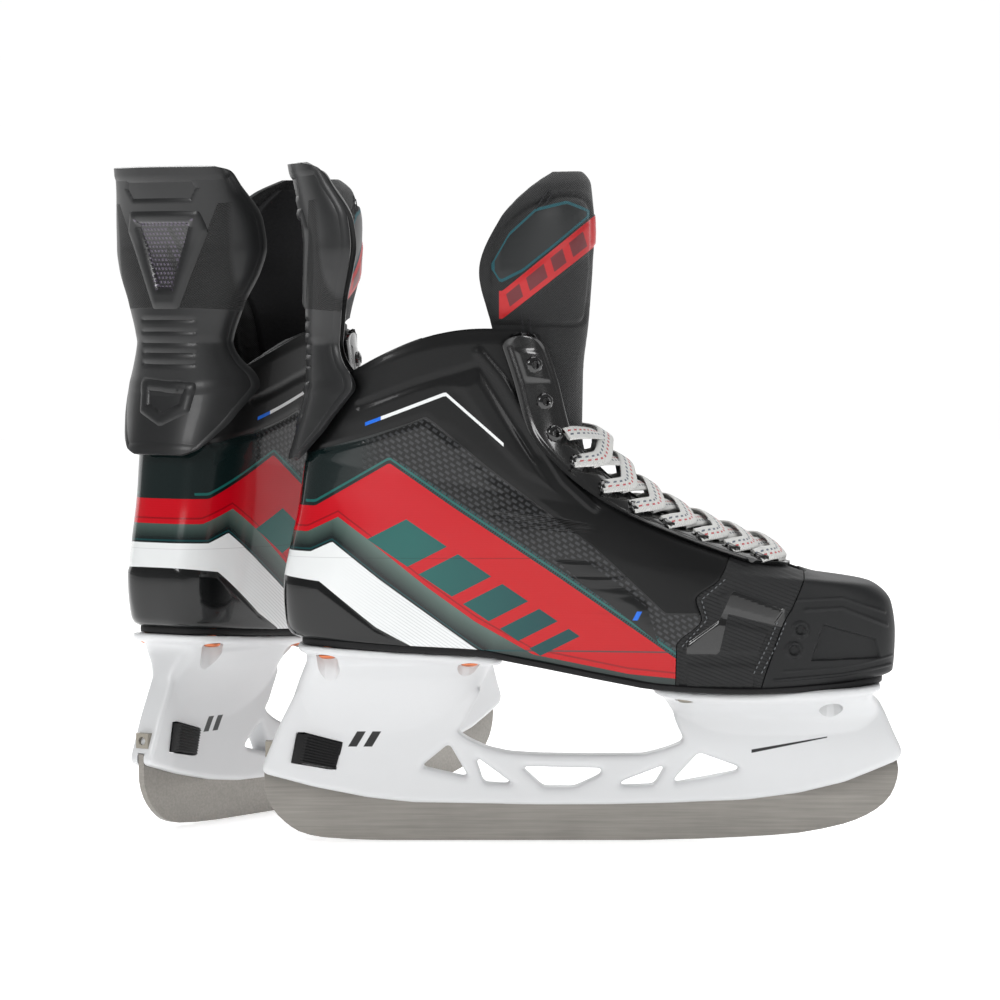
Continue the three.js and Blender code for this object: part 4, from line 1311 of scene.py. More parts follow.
@dataclass
class Lacing:
    """The eyestays with their eyelets, and the flat lace."""

    shop: Workshop
    low: float = 0.455
    high: float = 0.99
    edge: float = 1.5
    thickness: float = 2.0
    lace_width: float = 8.8
    lace_thickness: float = 1.5

    EYELETS = (0.473, 0.506, 0.542, 0.582, 0.627, 0.678, 0.728, 0.776, 0.835, 0.915)
    EYE_ROW = 0.52
    BACK = Track([(0.45, 50), (0.7, 63), (1, 74)])

    def build(self) -> None:
        """Makes and delivers the strips, the eyelets and the lace."""
        for side, node in ((1, "eyestay_inner"), (-1, "eyestay_outer")):
            self._strip(side, node)
        self._eyelets()
        self._lace()

    def _edge(self, level: Any, play: float) -> np.ndarray:
        """The angle a distance outside the throat's edge."""
        level = np.asarray(level, float)
        share = np.clip((level - BOOT.THROAT_START) / (1 - BOOT.THROAT_START), 0, 1)
        half = BOOT.THROAT_TOE + (BOOT.THROAT_TOP - BOOT.THROAT_TOE) * share + play
        side = BOOT.point(np.pi / 2, level)
        return np.arcsin(np.clip(half / (side[..., 1] - BOOT.lean(side[..., 0])), 0, 1) ** 2)

    def _on_strip(self, level: Any, share: Any) -> np.ndarray:
        """The angle of a place on the strip, by its share of the strip's width."""
        inner = self._edge(level, self.edge)
        return inner + (np.radians(self.BACK.one(level)) - inner) * share

    def _strip(self, side: int, node: str) -> None:
        """One lacing strip, with a rounded ear and a raised rim."""
        levels = np.linspace(self.low, self.high, 150)[:, None]
        share = np.linspace(0, 1, 46)[None]
        ear = np.clip((levels - 0.955) / (self.high - 0.955), 0, 1)
        narrow = 0.42 * (1 - np.sqrt(np.clip(1 - ear**2, 0, 1)))
        shares = narrow + share * (1 - 2 * narrow)
        angles = self._on_strip(levels, shares)
        rim = np.minimum(share, 1 - share) + 0 * levels
        height = 0.4 + self.thickness - 0.55 * smooth(0.06, 0.16, rim)
        panel = smooth(0.18, 0.24, rim) * smooth(0.872, 0.884, levels) * (1 - smooth(0.945, 0.957, levels))
        height = height + panel * 0.35
        points = BOOT.out(angles * side, levels, height)
        if side < 0:
            points = points[:, ::-1]
        strip = self.shop.sheet(node, Sheet.of(points))
        self.shop.thick(strip, 1.9, 0.5)
        self.shop.deliver(strip, "boot", "gloss_trim", GLOSS_BLACK, nodes=[node], smooth_angle=50)

    def _eyelets(self) -> None:
        """Ringed eyelets with a knurled flange."""
        turn = np.linspace(0, 2 * np.pi, 25)[:-1]
        knurl = 1 + 0.05 * np.sign(np.sin(turn * 12))
        rings = []
        for radius, height, rough in ((1.6, -1.2, 0), (1.7, 1.2, 0), (2.1, 1.7, 0), (2.9, 1.5, 0),
                                      (3.6, 1.0, 1), (3.9, 0.4, 1), (3.9, -0.4, 1)):
            wide = radius * (knurl if rough else 1)
            rings.append(np.stack([wide * np.cos(turn), wide * np.sin(turn), np.full(24, height)], -1))
        shape = self.shop.loft("eyelet_shape", np.array(rings), capped=False)
        levels = np.array(self.EYELETS)
        for side, word in ((1, "inner"), (-1, "outer")):
            angles = side * self._on_strip(levels, self.EYE_ROW)
            places = BOOT.out(angles, levels, 0.4 + self.thickness - 0.4)
            up = BOOT.out(angles, levels, 6.0) - places
            up /= np.linalg.norm(up, axis=1, keepdims=True)
            along = BOOT.point(angles, levels + 0.01) - BOOT.point(angles, levels)
            across = np.cross(up, along)
            across /= np.linalg.norm(across, axis=1, keepdims=True)
            copy = shape.copy()
            copy.data = shape.data.copy()
            bpy.context.collection.objects.link(copy)
            made = self.shop.scatter(f"eyelets_{word}", copy, places,
                                     np.stack([np.cross(across, up), across, up], 1))
            self.shop.deliver(made, "boot", "gloss_trim", GLOSS_BLACK, smooth_angle=35)
        bpy.data.objects.remove(shape)

    def _strap(self, points: np.ndarray, key: str) -> bpy.types.Object:
        """A flat strap through points, rounded at its edges and twisted to lie on the boot."""
        count = 34
        track = Track([[i, *p] for i, p in enumerate(points)])
        line = track(np.linspace(0, len(points) - 1, count))
        for _ in range(3):
            line[1:-1] = (line[:-2] + 2 * line[1:-1] + line[2:]) / 4
        ahead = np.gradient(line, axis=0)
        ahead /= np.linalg.norm(ahead, axis=1, keepdims=True)
        heart = np.stack([line[:, 0] - 26, line[:, 1] * 0.35, line[:, 2] - 40], -1)
        out = line - heart
        wide = np.cross(ahead, out)
        wide /= np.linalg.norm(wide, axis=1, keepdims=True)
        thick = np.cross(wide, ahead)
        turn = np.linspace(0, 2 * np.pi, 19)
        c, s = np.cos(turn), np.sin(turn)
        across = np.sign(c) * np.abs(c) ** 0.45 * self.lace_width / 2
        lift = np.sign(s) * np.abs(s) ** 0.8 * self.lace_thickness / 2
        ring = line[:, None] + wide[:, None] * across[None, :, None] + thick[:, None] * lift[None, :, None]
        length = np.concatenate([[0], np.cumsum(np.linalg.norm(np.diff(line, axis=0), axis=1))])
        chart = np.stack(np.broadcast_arrays(length[:, None], across[None]), -1)
        return self.shop.sheet(key, Sheet.of(ring, closed=True, band=chart))

    def _lace(self) -> None:
        """The lace, as the crossings that show."""
        low, high = self.EYELETS[0], self.EYELETS[7]
        used = self.EYELETS[:8]
        straps = []

        def climb(level: float) -> float:
            """How far up the lacing a level is, from 0 to 1."""
            return (level - low) / (high - low)

        def cross(side: int, start: float, end: float, extra: float) -> None:
            """One strap from an eyelet over the throat."""
            lift = 0.4 + self.thickness + 1.1
            eye_a = BOOT.out(side * self._on_strip(start, self.EYE_ROW - 0.08), start, lift + 0.4)
            sunk = BOOT.out(side * self._on_strip(start, self.EYE_ROW + 0.1), start, lift - 1.4)
            over_a = BOOT.out(side * self._edge(start, 1.0), start, lift + 0.4 + 1.8 * climb(start) + extra)
            over_b = BOOT.out(-side * self._edge(end, 1.0), end, lift + 0.4 + 1.8 * climb(end) + extra)
            eye_b = BOOT.out(-side * self._on_strip(end, 0.3), end, lift - 0.4)
            middle = (over_a + over_b) / 2
            a, b = (BOOT.front(np.array((start + end) / 2 - 0.05)),
                    BOOT.front(np.array((start + end) / 2 + 0.05)))
            out = np.array([b[1] - a[1], 0, a[0] - b[0]])
            out /= np.linalg.norm(out)
            middle = middle + out * (2.0 + 5.5 * climb((start + end) / 2) ** 2 + extra)
            straps.append(self._strap(np.array([sunk, eye_a, over_a, middle, over_b, eye_b]), "strap"))

        cross(1, used[0], used[0], 0.0)
        for i in range(len(used) - 1):
            cross(1, used[i], used[i + 1], 0.0)
            cross(-1, used[i], used[i + 1], 1.4)
        lace = self.shop.join("lace", straps)
        self.shop.deliver(lace, "boot", "lace_weave", LaceFinish(), nodes=["lace"], smooth_angle=80)


class LaceFinish(Finish):
    """White woven lace with dashed red and dark rows."""

    name = "lace_weave"

    def paint(self, canvas: Canvas) -> None:
        """Draws the finish."""
        along, across = canvas.chart("band")
        slant = along + across * 0.7
        dash = slant.wave(0.0036).under(0.0017)
        red = dash * across.between(0.0006, 0.0017)
        dark = (slant + 0.0018).wave(0.0036).under(0.0017) * across.between(-0.0019, -0.0008)
        plait = ((along * 0.9 + across.size()) * (2 * math.pi / 0.0011)).sine() * 0.5 + 0.5
        color = canvas.mix(plait * 0.4, srgb(0.92, 0.92, 0.91), srgb(0.78, 0.78, 0.77))
        color = canvas.mix(red * 0.9, color, srgb(0.78, 0.12, 0.16))
        color = canvas.mix(dark * 0.9, color, srgb(0.12, 0.22, 0.34))
        canvas.set(Base_Color=color, Roughness=0.85, Sheen_Weight=0.2)
        canvas.bump(plait, 0.00025)


# ---------------------------------------------------------------------------------------------------
# Tongue, tendon guard and linings
# ---------------------------------------------------------------------------------------------------
@dataclass
class Tongue:
    """The padded tongue, in one piece, and its felt."""

    shop: Workshop
    thickness: float = 6.0
    columns: int = 90
    rows: int = 240

    SECTIONS = Track([
        [0, 228, 123, 4, 17, 80], [0.1, 208, 130.5, 6, 22, 74], [0.2, 184, 140.5, 9, 25, 66],
        [0.3, 164, 152, 14, 27, 56], [0.38, 150.5, 168, 20, 28.5, 36], [0.46, 145.5, 187, 30, 26, 14],
        [0.54, 145.5, 207, 35, 26.5, 2], [0.56, 145.5, 212, 36, 26.8, 0], [0.67, 147.6, 237, 45, 29.5, 0],
        [0.78, 150, 262, 52, 38, 0], [0.88, 151.5, 284, 44, 36, 0], [0.96, 150.5, 299, 28, 27, 0],
        [1, 147.5, 305.4, 15, 17, 0],
    ])

    def _place(self, share: np.ndarray, turn: np.ndarray, into: Any) -> np.ndarray:
        """Places on the tongue.

        Args:
            share: How far along it, 0 at the toe.
            turn: The angle round it, 0 in the middle of its front.
            into: The distance behind its front surface.

        Returns:
            The places.
        """
        x, z, fall, wide, slope = np.moveaxis(self.SECTIONS(share), -1, 0)
        away = np.radians(slope)
        back = fall - (fall - into) * np.cos(turn)
        side = (wide - into) * np.sin(turn) + BOOT.lean(x) * 0.6
        return np.stack([x - back * np.cos(away), side, z - back * np.sin(away)], -1)

    def build(self) -> None:
        """Makes and delivers the tongue and its felt."""
        share = np.linspace(0.05, 1, self.rows)[:, None]
        turn = np.radians(np.linspace(-90, 90, self.columns))[None]
        ones = np.ones((self.rows, self.columns))
        share, turn = share * ones, turn * ones
        seen = self._place(share, turn, 0.0)
        edge = np.minimum(np.minimum((np.pi / 2 - np.abs(turn)) / 0.24, (1 - share) / 0.032), 1.0)
        into = 1.6 * (1 - np.sqrt(np.clip(1 - (1 - edge) ** 2, 0, 1)))
        seam = off_line(seen[..., 0], seen[..., 2], self._inner_line(9.5))
        inner = smooth(-0.5, 0.5, inside(seen[..., 0], seen[..., 2], self._inner_line(9.5)))
        into = into + np.where(share > 0.55, 1.5 * (1 - smooth(0.5, 2.0, seam)) - 0.7 * inner, 0)
        band = [(109, 238.5), (152, 272), (152, 286), (108, 251)]
        into = into - np.where(
            share > 0.55, 0.7 * smooth(0, 0.8, inside(seen[..., 0], seen[..., 2], band)), 0)
        fold = np.exp(-(((share - 0.61) / 0.018) ** 2)) * smooth(1.1, 1.5, np.abs(turn))
        outer = self._place(share, turn, into - 2.5 * fold)
        back = self._place(share, turn * 0.985, self.thickness - 2.0 * (1 - edge))
        piece = self._pillow("tongue", outer, back)
        self._cloth(piece, 1.2)
        bend = ("tongue_flap", (145.5, 0, 200.0), (145.5, 0, 219.0))
        self.shop.chart(piece)
        self.shop.deliver(piece, "boot", "tongue_fabric", TongueFinish(), nodes=["tongue_lower", "tongue"],
                          blend=bend, padded=0.8, smooth_angle=70)
        self._felt()
        self._stitches()

    def _inner_line(self, inset: float) -> list[tuple[float, float]]:
        """A line inside the tongue's outline in the side view."""
        d = inset
        return rounded([(148 - d * 0.35, 303 - d), (135, 303.5 - d), (123 + d * 0.3, 300.5 - d),
                        (111.5 + d * 0.6, 294.5 - d * 0.8), (100 + d * 0.85, 282 - d * 0.4), (94.6 + d, 268),
                        (94.5 + d, 256), (92 + d, 236), (147 - d * 0.15, 236), (149.8 - d * 0.15, 262),
                        (151.5 - d * 0.2, 290)], 5)

    def _pillow(self, name: str, outer: np.ndarray, back: np.ndarray) -> bpy.types.Object:
        """A closed soft body between two sheets of points.

        Args:
            name: The piece's name.
            outer: The front sheet.
            back: The back sheet, of the same size.

        Returns:
            The piece.
        """
        face = np.full((*outer.shape[:2], 2), 1 / MM)
        front = self.shop.sheet(name + "_front", Sheet.of(outer, face=face))
        rear = self.shop.sheet(name + "_back", Sheet.of(back[:, ::-1], face=face * 0))
        self.shop.only(front, rear)
        bpy.ops.object.join()
        made = bpy.context.object
        made.name = name
        bpy.ops.object.mode_set(mode="EDIT")
        bpy.ops.mesh.select_all(action="DESELECT")
        bpy.ops.mesh.select_non_manifold()
        bpy.ops.mesh.bridge_edge_loops()
        bpy.ops.mesh.select_all(action="SELECT")
        bpy.ops.mesh.normals_make_consistent(inside=False)
        bpy.ops.object.mode_set(mode="OBJECT")
        return made

    def _cloth(self, piece: bpy.types.Object, cap: float) -> None:
        """Lets a padded piece swell and crease a little, with its seams as they are.

        Args:
            piece: The piece, in millimetres.
            cap: How far any point may move.
        """
        proxy = piece.copy()
        proxy.data = piece.data.copy()
        bpy.context.collection.objects.link(proxy)
        proxy.data.transform(Matrix.Scale(MM, 4))
        self.shop.only(proxy)
        self.shop.modify(proxy, "REMESH", mode="VOXEL", voxel_size=0.0048)
        count = len(proxy.data.vertices)
        start = np.zeros(count * 3, np.float32)
        proxy.data.vertices.foreach_get("co", start)
        cloth = proxy.modifiers.new("Cloth", "CLOTH")
        cloth.settings.use_pressure = True
        cloth.settings.uniform_pressure_force = 4.0
        cloth.settings.effector_weights.gravity = 0.0
        cloth.settings.quality = 5
        cloth.point_cache.frame_start, cloth.point_cache.frame_end = 1, 20
        scene = bpy.context.scene
        for number in range(1, 21):
            scene.frame_set(number)
        posed = proxy.evaluated_get(bpy.context.evaluated_depsgraph_get())
        end = np.zeros(count * 3, np.float32)
        posed.data.vertices.foreach_get("co", end)
        scene.frame_set(1)
        start, end = start.reshape(-1, 3) / MM, end.reshape(-1, 3) / MM
        move = end - start
        size = np.linalg.norm(move, axis=1, keepdims=True)
        move *= np.minimum(1, cap / np.maximum(size, 1e-6))
        self._carry(piece, start, move)
        bpy.data.objects.remove(proxy)

    @staticmethod
    def _carry(piece: bpy.types.Object, known: np.ndarray, move: np.ndarray) -> None:
        """Moves a piece's points as the nearest known points moved."""
        tree = KDTree(len(known))
        for i, place in enumerate(known):
            tree.insert(place, i)
        tree.balance()
        for vertex in piece.data.vertices:
            near = tree.find_n(vertex.co, 5)
            weights = [1 / (distance + 0.5) ** 2 for _, _, distance in near]
            total = sum(weights)
            shift = sum((w * move[i] for w, (_, i, _) in zip(weights, near)), np.zeros(3)) / total
            vertex.co = Vector(np.array(vertex.co) + shift)

    def _felt(self) -> None:
        """The felt behind the tongue's free part."""
        share = np.linspace(0.60, 0.965, 70)[:, None] * np.ones((1, 50))
        turn = np.radians(np.linspace(-70, 70, 50))[None] * np.ones((70, 1))
        front = self._place(share, turn, self.thickness + 0.2)
        back = self._place(share, turn * 0.97, self.thickness + 4.2)
        felt = self._pillow("tongue_liner", front, back)
        self.shop.modify(felt, "BEVEL", width=1.2, segments=2, limit_method="ANGLE", angle_limit=1.0)
        self.shop.chart(felt)
        self.shop.deliver(felt, "tongue_flap", "felt", FELT, nodes=["tongue_liner"], padded=0.7)

    def _stitches(self) -> None:
        """A double row of thread inside the tongue's border."""
        rows = []
        for turn_in, start, stop in ((0.34, 0.585, 0.945), (0.42, 0.585, 0.935)):
            for side in (1, -1):
                share = np.linspace(start, stop, 70)
                rows.append((share, side * (np.pi / 2 - turn_in + 0 * share)))
        share = np.concatenate([r[0] for r in rows])
        turn = np.concatenate([r[1] for r in rows])
        places = self._place(share, turn, -0.9)
        ahead = self._place(share + 0.004, turn, -0.9) - places
        out = self._place(share, turn, -1.9) - places
        Stitching(self.shop, length=1.8).lay("tongue_stitches", places, ahead, out, THREAD, "tongue_fabric",
                                             "tongue_flap")


class TongueFinish(Finish):
    """Matte dark cloth with a satin band, a lens-shaped panel and a teal outline."""

    name = "tongue_cloth"

    def paint(self, canvas: Canvas) -> None:
        """Draws the finish."""
        x, z = canvas.chart("side")
        low = canvas.edge(x, [(0, 238), (109, 238.5), (152, 272), (300, 272)])
        high = canvas.edge(x, [(0, 250.5), (109, 251), (152, 286), (300, 286)])
        band = z.over(low) * z.under(high) * x.over(0.1075)
        free = z.over(0.236, 0.001) * canvas.chart("face")[0].over(0.5)
        slant = x + (z - low) * 0.25
        blocks: Any = 0.0
        for start, end in ((0.113, 0.119), (0.122, 0.130), (0.133, 0.1385), (0.1415, 0.148)):
            blocks = blocks + slant.between(start, end)
        marks = (blocks * z.over(low + 0.0028) * z.under(high - 0.0028)).share()
        lens_low = canvas.edge(x, [(104, 261), (108, 254.5), (118, 259.5), (133, 271.5), (148.5, 284.5),
                                   (160, 290)])
        lens_high = canvas.edge(x, [(104, 263), (112, 277), (124, 288), (138, 291.5), (148.5, 287.5),
                                    (160, 280)])
        lens = z.over(lens_low) * z.under(lens_high) * x.between(0.104, 0.1485)
        core = z.over(lens_low + 0.0014) * z.under(lens_high - 0.0014) * x.between(0.1055, 0.147)
        knit = ((x * (2 * math.pi / 0.0011)).sine() * (z * (2 * math.pi / 0.0011)).sine()) * 0.5 + 0.5
        color = canvas.mix(knit * 0.5, srgb(0.10, 0.103, 0.106), srgb(0.16, 0.163, 0.166))
        color = canvas.mix(lens * free * 0.8, color, srgb(0.10, 0.36, 0.40))
        color = canvas.mix(core * free, color, srgb(0.07, 0.085, 0.09))
        color = canvas.mix(band * free, color, srgb(0.74, 0.06, 0.09))
        color = canvas.mix(marks * free * 0.85, color, srgb(0.30, 0.10, 0.13))
        canvas.set(
            Base_Color=color, Roughness=(0.82 - (band + core).share() * free * 0.38).share(),
            Sheen_Weight=0.15,
        )
        canvas.bump(knit * (1 - (band + core).share() * free), 0.0002)


@dataclass
class Guard:
    """The tendon guard: one sheet with a groove at its waist, its soft lining and the collar's padding."""

    shop: Workshop
    thickness: float = 3.4
    thread_lift: float = 0.8
    columns: int = 170
    rows: int = 300

    BLADE = Track([
        [0, 217.8, 22.3, 12, 24], [0.1, 226, 22.5, 13, 23.5], [0.3, 246, 22.7, 14.5, 29.5],
        [0.45, 262, 22.6, 17.5, 37], [0.55, 271, 22.3, 19, 39], [0.68, 283, 20.5, 19.5, 38],
        [0.85, 299, 17, 14, 32], [1, 308.8, 15.2, 10, 29],
    ])
    BASE_LEVEL = (0.58, 0.925)

    def build(self) -> None:
        """Makes and delivers the guard, its lining and the collar's padding."""
        self._sheet()
        self._lining()
        self._collar()

    def _blade(self, share: np.ndarray, turn: np.ndarray, into: Any) -> np.ndarray:
        """Places on the free blade."""
        z, back, reach, wide = np.moveaxis(self.BLADE(share), -1, 0)
        x = back + reach - (reach - into) * np.cos(turn)
        return np.stack([x, (wide - into) * np.sin(turn), z], -1)

    def _whole(self, up: np.ndarray, across: np.ndarray, into: Any) -> np.ndarray:
        """Places on the whole guard.

        Args:
            up: 0 at the base's foot, 1 where the blade starts and 2 at the top.
            across: -1 to 1 from the outer to the inner side.
            into: The distance behind the outer face.

        Returns:
            The places.
        """
        base = np.clip(up, 0, 1)
        low, high = self.BASE_LEVEL
        reach = np.radians(14 + 44 * base**0.8)
        foot = BOOT.out(np.pi - across * reach, low + (high - low) * base, 0.4 + self.thickness - into)
        blade = self._blade(np.clip(up - 1, 0, 1), across * np.pi / 2, into)
        mix = smooth(0.88, 1.12, up)[..., None]
        return foot * (1 - mix) + blade * mix

    @staticmethod
    def _back_relief(y: np.ndarray, z: np.ndarray) -> np.ndarray:
        """How far the face seen from behind stands out, from its place across and up."""
        height = np.zeros(y.shape)
        recess = [(-19, 304), (19, 304), (21, 299), (17, 292.5), (-17, 292.5), (-21, 299)]
        height -= 0.7 * smooth(0, 0.9, inside(y, z, recess))
        frame_line = [(-19, 288), (19, 288), (22, 279), (6.5, 243), (-6.5, 243), (-22, 279)]
        panel = [(-15, 285), (15, 285), (16, 281), (5, 250), (-5, 250), (-16, 281)]
        height += 1.2 * smooth(0, 2.6, inside(y, z, frame_line))
        height -= 1.7 * smooth(0, 1.0, inside(y, z, panel))
        for groove in (237.5, 232.0, 226.8, 221.8, 216.8):
            height -= 0.8 * (1 - smooth(0.5, 1.5, np.abs(z - groove))) * (1 - smooth(13, 16, np.abs(y)))
        lower = [(-15, 209), (15, 207), (13, 194), (0, 187.5), (-13, 194)]
        height += 0.8 * smooth(0, 1.6, inside(y, z, lower))
        core = [(-11.5, 206), (11.5, 204.5), (10, 196), (0, 191), (-10, 196)]
        height -= 0.9 * smooth(0, 0.8, inside(y, z, core))
        return height

    def _sheet(self) -> None:
        """The guard's outer sheet."""
        up = np.concatenate([np.linspace(0, 1, self.rows // 3)[:-1],
                             np.linspace(1, 2, self.rows - self.rows // 3)])
        across = np.linspace(-1, 1, self.columns)
        up, across = up[:, None] + 0 * across, across[None] + 0 * up[:, None]
        corner = np.clip((up - 1.9) / 0.1, 0, 1)
        tail = np.clip((0.1 - up) / 0.1, 0, 1)
        shape = across * (1 - 0.24 * corner**3 - 0.25 * tail**2)
        flat = self._whole(up, shape, 0.0)
        height = self._back_relief(flat[..., 1], flat[..., 2])
        rim = np.minimum(1 - np.abs(across), np.minimum((2 - up) * 0.9, up * 0.5 + 0.02))
        height += 0.5 * (1 - smooth(0.05, 0.085, rim))
        waist = smooth(0.93, 0.98, up) * (1 - smooth(1.1, 1.16, up))
        height -= 0.5 * waist * smooth(0.1, 0.3, 1 - np.abs(across))
        outer = self._whole(up, shape, -height)
        rear = np.stack([flat[..., 1], flat[..., 2]], -1)
        guard = self.shop.sheet("tendon_guard", Sheet.of(outer, rear=rear))
        self.shop.thick(guard, self.thickness, 0.6)
        bend = ("guard_blade", (22.5, 0, 209), (22.5, 0, 225))
        self.shop.deliver(guard, "boot", "guard_plastic", GuardFinish(), nodes=["guard_base", "tendon_guard"],
                          blend=bend)
        self._threads()

    def _threads(self) -> None:
        """Rows of thread: two along the blade's border and one round the base."""
        blade, base = [], []
        for inset in (0.055, 0.085):
            for side in (1, -1):
                blade += [(u, side * (1 - inset)) for u in np.linspace(1.16, 1.93, 52)]
            blade += [(1.965 - inset * 0.4, a) for a in np.linspace(-0.78, 0.78, 30)]
        for side in (1, -1):
            base += [(u, side * 0.9) for u in np.linspace(0.12, 0.86, 26)]
        base += [(0.05, a) for a in np.linspace(-0.62, 0.62, 10)]
        for name, stops, body in (("guard_stitches", blade, "guard_blade"),
                                  ("guard_base_stitches", base, "boot")):
            up, across = np.array(stops).T
            places = self._whole(up, across, -self.thread_lift)
            level = np.append(np.abs(np.diff(up)) < 1e-6, False)
            ahead = self._whole(up + np.where(level, 0.0, 0.006), across + np.where(level, 0.02, 0.0),
                                -self.thread_lift) - places
            out = self._whole(up, across, -self.thread_lift - 1) - places
            Stitching(self.shop).lay(name, places, ahead, out, THREAD_LIGHT, "guard_plastic", body)

    def _lining(self) -> None:
        """The blade's soft inside."""
        share = np.linspace(0.12, 0.93, 80)[:, None] * np.ones((1, 60))
        turn = np.radians(np.linspace(-78, 78, 60))[None] * np.ones((80, 1))
        edge = np.minimum(np.minimum((share - 0.12) / 0.06, (0.93 - share) / 0.06),
                          np.minimum((turn + 1.361) / 0.25, (1.361 - turn) / 0.25))
        puff = np.sqrt(np.clip(edge, 0, 1))
        front = self._blade(share, turn, self.thickness + 0.2)
        back = self._blade(share, turn, self.thickness + 1.2 + 3.2 * puff)
        pad = Tongue(self.shop)._pillow("guard_pad", front, back)
        self.shop.chart(pad)
        self.shop.deliver(pad, "guard_blade", "lining_fabric", LINING, nodes=["guard_pad"], padded=0.7,
                          smooth_angle=70)

    def _collar(self) -> None:
        """The padded roll inside the collar."""
        angles = np.radians(np.linspace(96, 264, 130))[None]
        levels = np.linspace(0.66, 1.0, 60)[:, None]
        angles, levels = angles + 0 * levels, levels + 0 * angles
        edge = np.minimum(np.minimum((levels - 0.66) / 0.09, (1.0 - levels) / 0.05),
                          np.minimum((angles - angles[0, 0]) / 0.18, (angles[0, -1] - angles) / 0.18))
        puff = np.sqrt(np.clip(1 - (1 - np.clip(edge, 0, 1)) ** 2, 0, 1))
        quilt = 1.1 * (1 - smooth(0.6, 2.4, np.abs((np.degrees(angles) - 180) % 42 - 21)))
        front = BOOT.out(angles, levels, -3.4)
        back = BOOT.out(angles, levels, -4.4 - 6.4 * puff + quilt * puff)
        tongue = Tongue(self.shop)
        pad = tongue._pillow("collar_pad", front, back)
        tongue._cloth(pad, 1.0)
        self.shop.chart(pad)
        self.shop.deliver(pad, "boot", "lining_fabric", LINING, nodes=["collar_pad"], padded=0.85,
                          smooth_angle=70)


class GuardFinish(Finish):
    """Satin moulding with a woven purple-grey inset, read from behind."""

    name = "guard_moulding"

    def paint(self, canvas: Canvas) -> None:
        """Draws the finish."""
        y, z = canvas.chart("rear")
        side = y.size()
        wall = (z - 0.2475) * 0.32 + 0.0045
        panel = side.under(wall) * z.between(0.250, 0.285)
        slant = y + z * 0.5
        cells = (slant.wave(0.0021).between(0.0003, 0.0014, 0.0004)
                 * z.wave(0.0021).between(0.0004, 0.0015, 0.0004))
        weave = canvas.mix(cells, srgb(0.07, 0.065, 0.08), srgb(0.30, 0.26, 0.34))
        bars = (slant.wave(0.0075)).under(0.0032) * y.over(0.001, 0.001) * z.between(0.256, 0.281)
        weave = canvas.mix(bars, weave, srgb(0.05, 0.05, 0.055))
        mesh_zone = (side.over((z - 0.2475) * 0.4 + 0.0095) * z.between(0.243, 0.292)
                     * side.under(0.031, 0.002))
        pores = ((y * (2 * math.pi / 0.0013)).sine() * (z * (2 * math.pi / 0.0013)).sine()) * 0.5 + 0.5
        color = canvas.mix(mesh_zone, srgb(0.105, 0.108, 0.112), srgb(0.065, 0.068, 0.07))
        color = canvas.mix(panel, color, weave)
        canvas.set(
            Base_Color=color,
            Roughness=(0.36 + mesh_zone * 0.3 - panel * 0.1 + canvas.noise(50.0) * 0.08).share(),
            Coat_Weight=(panel * 0.8 + 0.1).share(), Coat_Roughness=0.1,
        )
        canvas.bump(pores * mesh_zone + cells * panel * 0.6, 0.0003)


